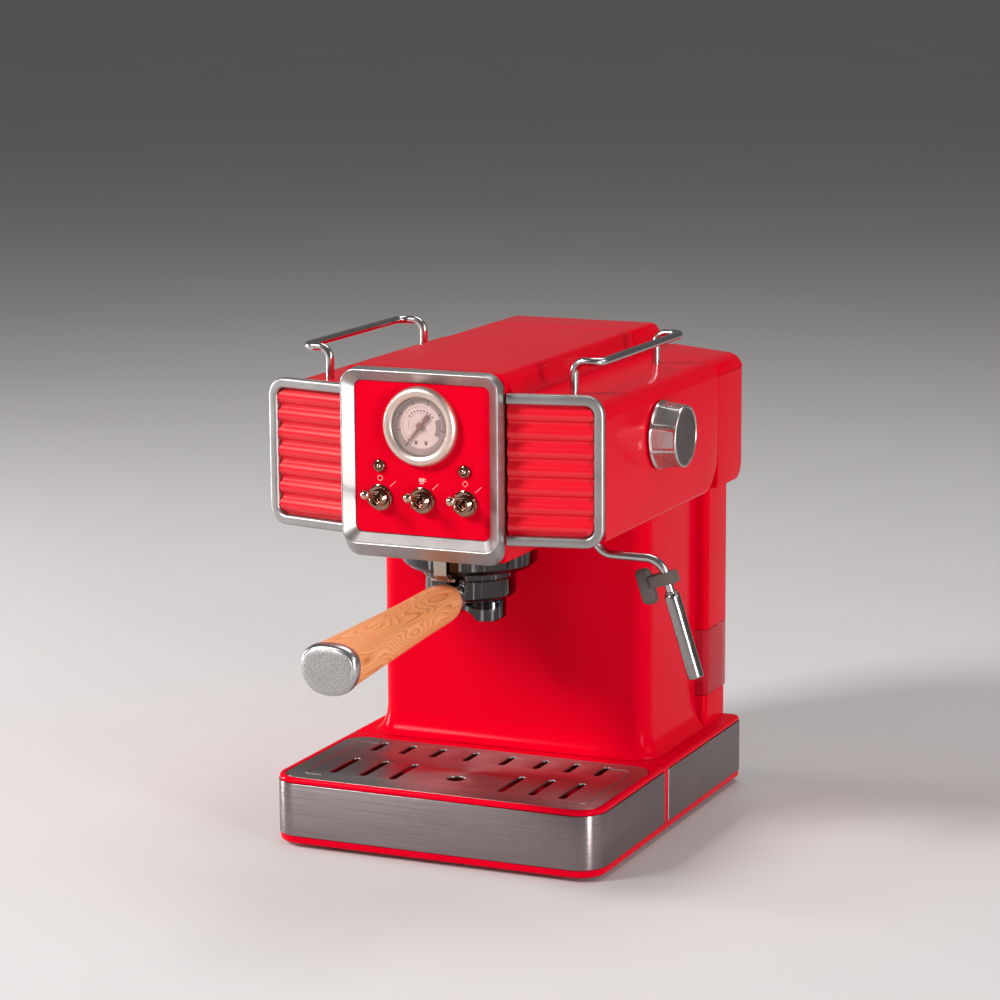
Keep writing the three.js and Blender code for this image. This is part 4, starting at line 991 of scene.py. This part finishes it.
def make_switches():
    """Lever switches: a washer, a hex nut, a threaded bushing and a lever with a ball at its end."""
    front, z, nut, bushing = PANEL["face"] - GAP, SWITCH["z"], SWITCH["nut"], SWITCH["bushing"]
    flat = nut * math.cos(math.pi / 6)
    rim = offset(nut, 0, (-0.3, 0), (-0.05, 0.15), (-0.05, 0.55), (-0.3, 0.7))
    washer = [(bushing, 0)] + rim + [(bushing, 0.7)]
    nut_rings = ((nut, 0.7, flat + 0.35), (nut, 1.05, nut), (nut, 2.4, nut), (nut, 2.8, flat + 0.25),
                 (nut - 1.2, 2.8, nut))
    thread = [(0, -2), (bushing, -2), (bushing, 2.8)]
    for k in range(5):
        thread += offset(bushing, 2.9 + k * 0.72, (0, 0), (-0.35, 0.36))
    thread += [(bushing - 0.1, 6.5), (bushing - 0.6, 7.0), (4.2, 7.0), (3.7, 6.6), (3.2, 4.5), (0, 4.4)]

    tilt, reach, ball = math.radians(SWITCH["tilt"]), SWITCH["reach"], SWITCH["ball"]
    axis = (0, -math.cos(tilt), math.sin(tilt))
    lever = [(0, -4), (1.2, -4), (1.2, -2), (2.0, -1.4), (2.9, -0.6), (3.0, 0.6), (2.4, 1.6), (1.7, 2.2),
             (1.35, 3.4), (1.45, reach - 7), (1.75, reach - 4), (2.2, reach - 2.3)]
    for a in (math.radians(degrees) for degrees in range(-42, 90, 12)):
        lever.append((ball * math.cos(a), reach + ball * math.sin(a)))
    lever.append((0, reach + ball))

    for name, x in SWITCHES:
        bm = bmesh.new()
        add_turned(bm, washer, (x, front, z), FORWARD, 48)
        add_loft(bm, [hexagon(x, front - depth, z, radius, soft) for radius, depth, soft in nut_rings])
        add_turned(bm, thread, (x, front, z), FORWARD, 48)
        behind = PANEL["face"] + PANEL["thick"] + GAP
        add_block(bm, x - 6.5, x + 6.5, behind, behind + 18, z - 10, z + 10, 0.5)
        body = finish_mesh(f"toggle_body_{name}", bm)
        # The switch body takes the darker gold copy: painted shade.
        fit(body, "base", "gold_painted_shade", "gold_chrome", f"toggle_switch_{name}")
        arm = turned(f"toggle_arm_{name}", lever, (x, SWITCH["pivot"], z), axis, 40)
        fit(arm, f"lever_{name}", "gold", "gold_chrome", f"toggle_lever_{name}")


# ---- steam knob and pipe ----

KNOB = {"y": -27.3, "z": 267.2, "radius": 22, "face": 19.6, "length": 17.6, "base": 114.9}
WAND = {"x": 98, "y": -96, "arm": 202.5, "pipe": 2.7, "swing": 10, "bend": 14}
# Places on the pipe: distance out along its arm, and height.
ARM = {"elbow": (42, 200.5), "end": (52, 167), "collar": (48.9, 177.6), "clip": (45.9, 188)}
SLEEVE_LENGTH = 53.2
RAIL = {"leg": 84, "bar": 102, "front": -95, "rear": 45, "z": 321.7, "radius": 2.6, "bend": 7.5, "foot": 293}


def knob_ring(x, r, depth):
    """A ring of the knob. With a depth it has eight flats between pairs of fine ridges."""
    count, eighth = 8 * 24, math.pi / 4
    points = []
    for i in range(count):
        a = 2 * math.pi * i / count
        off = (a + eighth / 2) % eighth - eighth / 2
        chord = math.cos(eighth / 2) / math.cos(off)
        edge = eighth / 2 - abs(off)
        ridge = math.exp(-((edge - 0.062) / 0.02) ** 2) * 0.010
        reach = r * (1 + (chord - 1 + ridge) * depth)
        points.append((x, KNOB["y"] + reach * math.cos(a), KNOB["z"] + reach * math.sin(a)))
    return points


def make_knob():
    """A fluted knob in a round rim at each end, with a sunk brushed face."""
    x, r, f, n = KNOB["base"], KNOB["radius"], KNOB["face"], KNOB["length"]
    sections = ((0, r - 1.2, 0), (0, r - 0.4, 0), (0.3, r - 0.05, 0), (0.9, r, 0), (1.5, r - 0.1, 0.3),
                (2.0, r - 0.15, 1), (n * 0.5, (r + f) / 2 + 0.15, 1), (n - 2.2, f + 0.4, 1),
                (n - 1.7, f + 0.25, 0.4), (n - 1.2, f + 0.2, 0), (n - 0.5, f, 0), (n - 0.1, f - 0.4, 0),
                (n, f - 0.9, 0), (n - 0.15, f - 1.3, 0), (n - 0.6, f - 1.6, 0))
    rings = [knob_ring(x + along, radius, depth) for along, radius, depth in sections]
    fit(loft("knob_body", rings, smooth=24), "knob", "knob", "brushed_steel", "steam_knob")
    face = [(0, n - 0.65), (f - 1.7, n - 0.65), (f - 1.75, n - 0.45), (0, n - 0.4)]
    fit(turned("knob_face", face, (x, KNOB["y"], KNOB["z"]), RIGHT, 72), "knob", "knob_face", "brushed_steel")


def make_side_marks():
    """A small plain steam pictogram in front of the knob: three waves."""
    bm = bmesh.new()
    section = [(-0.25, -0.05), (0.25, -0.05), (0.25, 0.05), (-0.25, 0.05)]
    x, z = HEAD["half"], KNOB["z"] - 4
    for shift in (-1.8, 0, 1.8):
        y = KNOB["y"] - 33 + shift
        wave = [(x, y + 0.5 * math.sin(math.pi * k / 4), z + 0.6 * k) for k in range(9)]
        add_sweep(bm, wave, section, RIGHT)
    fit(finish_mesh("side_marks", bm), "base", "print_red", "red_plastic")


def make_wand():
    swing = math.radians(WAND["swing"])
    side = Vector((math.cos(swing), math.sin(swing), 0))

    def point(out, height):
        return Vector((WAND["x"], WAND["y"], 0)) + side * out + Vector((0, 0, height))

    route = [point(0, 226), point(0, WAND["arm"]), point(*ARM["elbow"]), point(*ARM["end"])]
    tube = sweep("steam_tube", round_path(route, WAND["bend"], 14), circle(0, 0, WAND["pipe"], 28), side)
    fit(tube, "pipe", "tube", "chrome", "steam_pipe")
    p = WAND["pipe"] + 0.4
    nut = [(p, -1.5), (4.9, -1.5), (5.3, -1.2), (6.0, -0.1), (6.1, 0.4), (6.1, 12), (p, 12), (p, -1.5)]
    fit(turned("steam_tube_nut", nut, point(0, HEAD["bottom"] - 1)), "base", "chrome", "chrome", "pipe_nut")

    down = (route[3] - route[2]).normalized()
    collar = [(3.1, -3), (3.7, -3), (3.95, -2.7), (3.95, -1.9), (3.7, -1.5), (4.3, -1.1), (4.75, -0.6),
              (4.9, 0.2), (4.95, 1.5)]
    mouth = [(5.1, -1.2), (5.05, -0.5), (4.8, -0.1), (4.5, 0), (3.5, 0), (3.1, -0.6)]
    profile = collar + offset(0, SLEEVE_LENGTH, *mouth) + [(3.1, -3)]
    fit(turned("froth_tube", profile, point(*ARM["collar"]), down, 56), "sleeve", "sleeve", "brushed_steel",
        "froth_sleeve")

    turn = Vector((0, 0, -1)).rotation_difference(down).to_matrix().to_4x4()
    bm = bmesh.new()
    tab = shrinking(-20, -9.5, -3, 3, 2.8, 8)
    levels = [(-13, 2.6), (-12.4, 1.4), (-11.2, 0.4), (-9.5, 0), (6.5, 0), (8.2, 0.4), (9.4, 1.4), (10, 2.6)]
    add_loft(bm, stack(tab, levels))
    add_block(bm, -11, 6.5, -4.6, 4.6, -3, 4.6, 0.9)
    bmesh.ops.transform(bm, matrix=Matrix.Translation(point(*ARM["clip"])) @ turn, verts=bm.verts)
    fit(finish_mesh("tube_grip", bm, 50), "pipe", "grey_rubber", "grey_rubber", "pipe_grip")


def make_rails():
    r = RAIL
    ends = [("leg", "front", "foot"), ("leg", "front", "z"), ("bar", "front", "z"), ("bar", "rear", "z"),
            ("leg", "rear", "z"), ("leg", "rear", "foot")]
    for side, sign in SIDES:
        path = round_path([(sign * r[x], r[y], r[z]) for x, y, z in ends], r["bend"], 10)
        rail = sweep(f"rail_{side}", path, circle(0, 0, r["radius"], 28), (0, 1, 0))
        fit(rail, "base", "tube", "chrome", f"cup_rail_{side}")


# ---- group and filter holder ----

GROUP = {"y": -66, "ring": 43.5, "bore": 31.5, "bottom": 182.3, "top": 198, "ceiling": 193.5}
HOLDER = {"radius": 29.3, "bottom": 161.4, "top": 189.4, "wall": 2.1}
SPOUT = {"x": 14.2, "half": 23.4, "depth": 14.5, "bottom": 147.6, "arch": 7, "arch_half": 9.5}
GRIP = {"start": -104.5, "end": -262, "z": 165, "drop": 0.046}


def make_group():
    centre = (0, GROUP["y"], 0)
    outer, bore, low, ceiling = GROUP["ring"], GROUP["bore"], GROUP["bottom"], GROUP["ceiling"]
    top = GROUP["top"] - GAP
    steps = [(0, 4), (-0.3, 3.2), (-1, 2.6), (-2.2, 2.3), (-3.0, 1.0), (-4.0, 0.2), (-5, 0)]
    inside = [(bore + 0.6, low), (bore, low + 0.6), (bore, ceiling), (8, ceiling), (8, top)]
    collar = [(8, top), (outer, top)] + offset(outer, low, *steps) + inside
    fit(turned("group_ring", collar, centre, sides=96), "base", "dark_chrome", "dark_chrome", "group_collar")
    screen = offset(0, ceiling, (0, -2.6), (20, -2.2), (24, -1.8), (24.8, -1.2), (24.8, -GAP), (0, -GAP))
    fit(turned("shower_plate", screen, centre, sides=72), "base", "chrome", "chrome", "shower_screen")
    seal = offset(0, ceiling, (25.2, -3), (31, -3), (31, -GAP), (25.2, -GAP), (25.2, -3))
    fit(turned("group_gasket", seal, centre, sides=72), "base", "rubber", "black_rubber", "group_seal")


def make_holder():
    centre = (0, GROUP["y"], 0)
    r, low, top, wall = HOLDER["radius"], HOLDER["bottom"], HOLDER["top"], HOLDER["wall"]
    bowl = [(-6.4, 0), (-5.6, 0.3), (-3.2, 1.1), (-1.2, 2.3), (-0.3, 3.6), (0, 5.0)]
    rim = [(0, 175.6), (0.3, 176.3), (1.0, 176.9), (1.4, 177.8), (1.4, top - 0.3), (1.1, top), (-wall, top),
           (-wall, low + 5)]
    cup = [(0, low)] + offset(r, low, *bowl) + offset(r, 0, *rim) + [(0, low + 4)]
    fit(turned("holder_cup", cup, centre, sides=96), "holder", "dark_chrome", "chrome", "filter_holder")
    rim, floor = top + GAP, low + 6.4
    outside = offset(0, floor, (0, 0), (22, 0), (24, 0.5), (25.6, 3))
    lip = offset(0, rim, (26.4, -0.2), (28.9, -0.2), (28.9, 0.7), (25.6, 0.7))
    basket = outside + lip + offset(0, floor, (24.8, 3.6), (22.6, 1), (0, 1))
    fit(turned("basket_cup", basket, centre, sides=96), "basket", "sleeve", "brushed_steel", "filter_basket")


def spout_section(x):
    """The rounded outline of the spout's drum at x, with an arch in the middle of its lower edge."""
    floor, reach, high = SPOUT["bottom"], abs(x), HOLDER["bottom"] - GAP
    if reach > SPOUT["arch_half"]:
        low = floor + 2.2 * max(0.0, (reach - 19.5) / 3.9) ** 2
    else:
        low = floor + SPOUT["arch"] * math.cos(reach / SPOUT["arch_half"] * math.pi / 2) ** 0.8
    d = max(0.3, SPOUT["depth"] * math.sqrt(max(0.0, 1 - (x / (SPOUT["half"] + 0.05)) ** 2)) ** 0.8)
    soft = min(1.2, d * 0.4)
    half = offset(d, low, (-soft, 0), (-soft * 0.3, soft * 0.3), (0, soft))
    half += offset(d, high, (0, -soft), (-soft * 0.4, -soft * 0.3), (-soft, 0))
    return [(x, GROUP["y"] + y, z) for y, z in mirrored(half)]


def make_spout():
    """A short oval drum under the holder that ends in two mouths."""
    turns = [math.pi * i / 48 for i in range(49)]
    bm = bmesh.new()
    add_loft(bm, [spout_section(-SPOUT["half"] * math.cos(a)) for a in turns])
    mouth = [(4.4, 0.1), (5.2, 0.1), (5.4, -0.3), (5.2, -0.7), (4.6, -0.7), (4.4, -0.4), (4.4, 0.1)]
    for _, sign in SIDES:
        add_turned(bm, mouth, (sign * SPOUT["x"], GROUP["y"], SPOUT["bottom"] + 0.3), sides=36)
    fit(finish_mesh("twin_spout", bm, 35), "holder", "dark_chrome", "dark_chrome", "spout")


def grip_ring(y, w, h):
    """A blunt oval round the grip, a little wider at its top."""
    z = GRIP["z"] - GRIP["drop"] * (GRIP["start"] - y)
    points = []
    for c, s in circle(0, 0, 1, 72):
        u = math.copysign(abs(c) ** 0.82, c)
        v = math.copysign(abs(s) ** 0.85, s)
        points.append((w * u * (1 + 0.12 * s), y, z + h * v))
    return points


def make_grip():
    """The ferrule, the wooden grip and its end cap. Stations are a distance, half width and half height."""
    length = GROUP["y"] - GRIP["start"]
    socket = [(8.1, -9), (8.6, -8), (10.2, -7.2), (10.4, -6.6), (10.4, -1.0), (10.1, -0.4), (0, -0.4)]
    ferrule = [(0, 22), (7.6, 22), (7.9, 25)] + offset(0, length, *socket)
    piece = turned("handle_ferrule", ferrule, (0, GROUP["y"], GRIP["z"]), FORWARD)
    fit(piece, "holder", "chrome", "chrome", "grip_ferrule")

    start, end = GRIP["start"], GRIP["end"] - GAP
    wood = ((0, 10.2, 10.4), (0.5, 11.0, 11.1), (1.5, 11.6, 11.6), (6, 12.2, 11.9), (12, 12.6, 12),
            (28, 12.9, 12.1), (45, 13.2, 12.2), (72, 14.1, 12.8), (100, 15.2, 13.5), (126, 16.2, 14.2),
            (150, 17.2, 14.8), (start - GRIP["end"], 17.7, 15.1))
    rim = ((0, 17.6, 15.0), (0.4, 18.1, 15.4), (1.2, 18.4, 15.7), (3, 18.4, 15.7), (5, 18.2, 15.5),
           (6.2, 17.8, 15.1), (7.0, 17.1, 14.5), (7.5, 16.4, 13.8))
    face = ((7.2, 16.3, 13.7), (7.7, 16.1, 13.5), (8.0, 15.6, 13.0), (8.15, 12.5, 10.3), (8.2, 5, 4))
    pieces = (("handle_wood", wood, start, 50, "wood", "wood", "wood_grip"),
              ("handle_cap_rim", rim, end, 50, "cap_rim", "hammered_silver", "grip_cap"),
              ("handle_cap_face", face, end, 60, "hammered", "hammered_silver"))
    for name, stations, y, smooth, paint, slot, *nodes in pieces:
        rings = [grip_ring(y - along, w, h) for along, w, h in stations]
        fit(loft(name, rings, smooth=smooth), "holder", paint, slot, *nodes)


def make_clip():
    outline = [(-108.4, 179.2), (-107.5, 179.2), (-112.2, 184.1), (-112.2, 194), (-113.3, 194),
               (-113.3, 183.6)]
    pin = [(0, -8), (1.0, -8), (1.2, -7.7), (1.2, 7.7), (1.0, 8), (0, 8)]
    bm = bmesh.new()
    add_loft(bm, [[(x, y, z) for y, z in outline] for x in (-4.2, 4.2)])
    add_turned(bm, pin, (0, -108, 180), RIGHT, 24)
    piece = finish_mesh("flip_clip", bm)
    soften(piece, 0.25)
    fit(piece, "clip", "clip", "chrome", "basket_clip")


# ---- water tank ----

TOP = {"half": 114, "front": 81.2, "rear": 133, "low": 214, "seam": 289.6, "corner": 11}
SKIN = 2.6  # the wall of the red sleeve
LID = {"front": 81, "hinge_x": 38, "hinge_y": 83.8, "hinge_z": 313, "corner": 9}


def make_tank():
    t = TANK
    bottom, window, wall = t["bottom"], t["window"], t["wall"]
    plan = shrinking(-t["half"], t["half"], t["front"], t["rear"], t["corner"], 8, 1.0)
    outside = offset(bottom, 0, (0, 0.9), (0.3, 0.3), (0.9, 0)) + [(window, 0), (window, 2.9), (284, 2.9)]
    inside = [(284, 5.2), (window - 4, 5.2), (window - 4, wall), (bottom + wall, wall)]
    fit(loft("tank_vessel", stack(plan, outside + inside)), "tank", "tank", "clear_plastic", "water_tank")

    # the red upper skin: a narrow lower box, then the wide top with a rounded lower rear edge
    low, wide_low = window + GAP, TOP["low"]
    seam, corner = TOP["seam"] - GAP, TOP["corner"]
    bm = bmesh.new()
    levels = [(low, 0.4), (low + 0.4, 0), (wide_low + 2, 0), (wide_low + 2, SKIN), (low, SKIN)]
    add_loft(bm, stack(plan, levels), True)

    def wide(z, rear_cut=0, d=0):
        x = TOP["half"] - d
        outline = rounded(-x, x, TOP["front"] + d * 0.3, TOP["rear"] - rear_cut, (1, 1, 6, 6), 10)
        return at_height(outline, z)

    rings = [wide(wide_low, corner, 1.0)]
    rings += [wide(wide_low + 0.4 + corner * rise, corner * (1 - s)) for s, rise in quarter()]
    rings += [wide(seam - 0.5), wide(seam, 0.4, 0.5)]
    x = t["half"] - SKIN
    well = rounded(-x, x, t["front"] + SKIN, t["rear"] - SKIN, 1.5, 10)
    rings += [at_height(well, seam), at_height(well, wide_low)]
    add_loft(bm, rings, True)
    y, z = LID["hinge_y"], LID["hinge_z"]
    for _, sign in SIDES:
        x = sign * LID["hinge_x"]
        add_block(bm, x - 3, x + 3, y - 0.4, y + 3, TOP["seam"] - 4, z + 1.4, 0.8)
    fit(finish_mesh("tank_skin", bm, 35), "tank", "red", "red_plastic", "tank_sleeve")


def lid_shoulders(y, drop, d=0.0):
    """The shoulders' outline, narrowed by d and lowered by drop where the rear edge turns down."""
    low, half = TOP["seam"], HEAD["half"] - d
    points = [(max(-half, min(half, x)), min(z, HEAD["shoulder"])) for x, z in head_outline(low)[6:-6]]
    points = [(half, low)] + points + [(-half, low)]
    return [(x, y, max(low + 0.01, z - drop) if z > low + 0.1 else low) for x, z in points]


def make_tank_lid():
    front, corner, rear = LID["front"], LID["corner"], TOP["rear"]
    low = TOP["seam"]

    def crown_ring(y, drop):
        return at_depth(crown_outline(CROWN["foot"], HEAD["shoulder"] - 2.2, CROWN["top"] - drop), y)

    shoulders = [lid_shoulders(front, 0.5), lid_shoulders(front + 0.5, 0)]
    crown = [crown_ring(front, 0.4), crown_ring(front + 0.4, 0)]
    for i, (s, fall) in enumerate(quarter()):
        shoulders.append(lid_shoulders(rear - corner + corner * s, corner * fall, 2.2 * (i / 10) ** 3))
        crown.append(crown_ring(rear - 1 - corner + corner * s, corner * fall))
    bm = bmesh.new()
    add_loft(bm, shoulders)
    add_loft(bm, crown)
    add_block(bm, -14, 14, rear - 2, rear + 3.5, low + 0.2, low + 3, 0.8)
    fit(finish_mesh("lid_body", bm, 32), "lid", "red", "red_plastic", "tank_lid")


make_base()
make_tray()
make_grate()
make_feet()
make_column()
make_head()
make_crown()
make_frame()
make_panel_marks()
make_wings()
make_gauge()
make_lamps()
make_switches()
make_knob()
make_side_marks()
make_wand()
make_rails()
make_group()
make_holder()
make_spout()
make_grip()
make_clip()
make_tank()
make_tank_lid()

# CAD nodes that stay as they are, and the material of each
KEPT = {
    "bottom_plate": "black", "base_band": "band", "control_panel": "red", "gauge_case": "black",
    "valve_spindle": "brass", "steam_valve": "brass", "boiler": "silver", "tank_valve": "black",
    "pump": "black", "control_board": "board",
}
for node, paint in KEPT.items():
    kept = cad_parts[node]
    for place in kept.material_slots:
        place.material = M[paint]
    soften(kept, 0.3, 40)
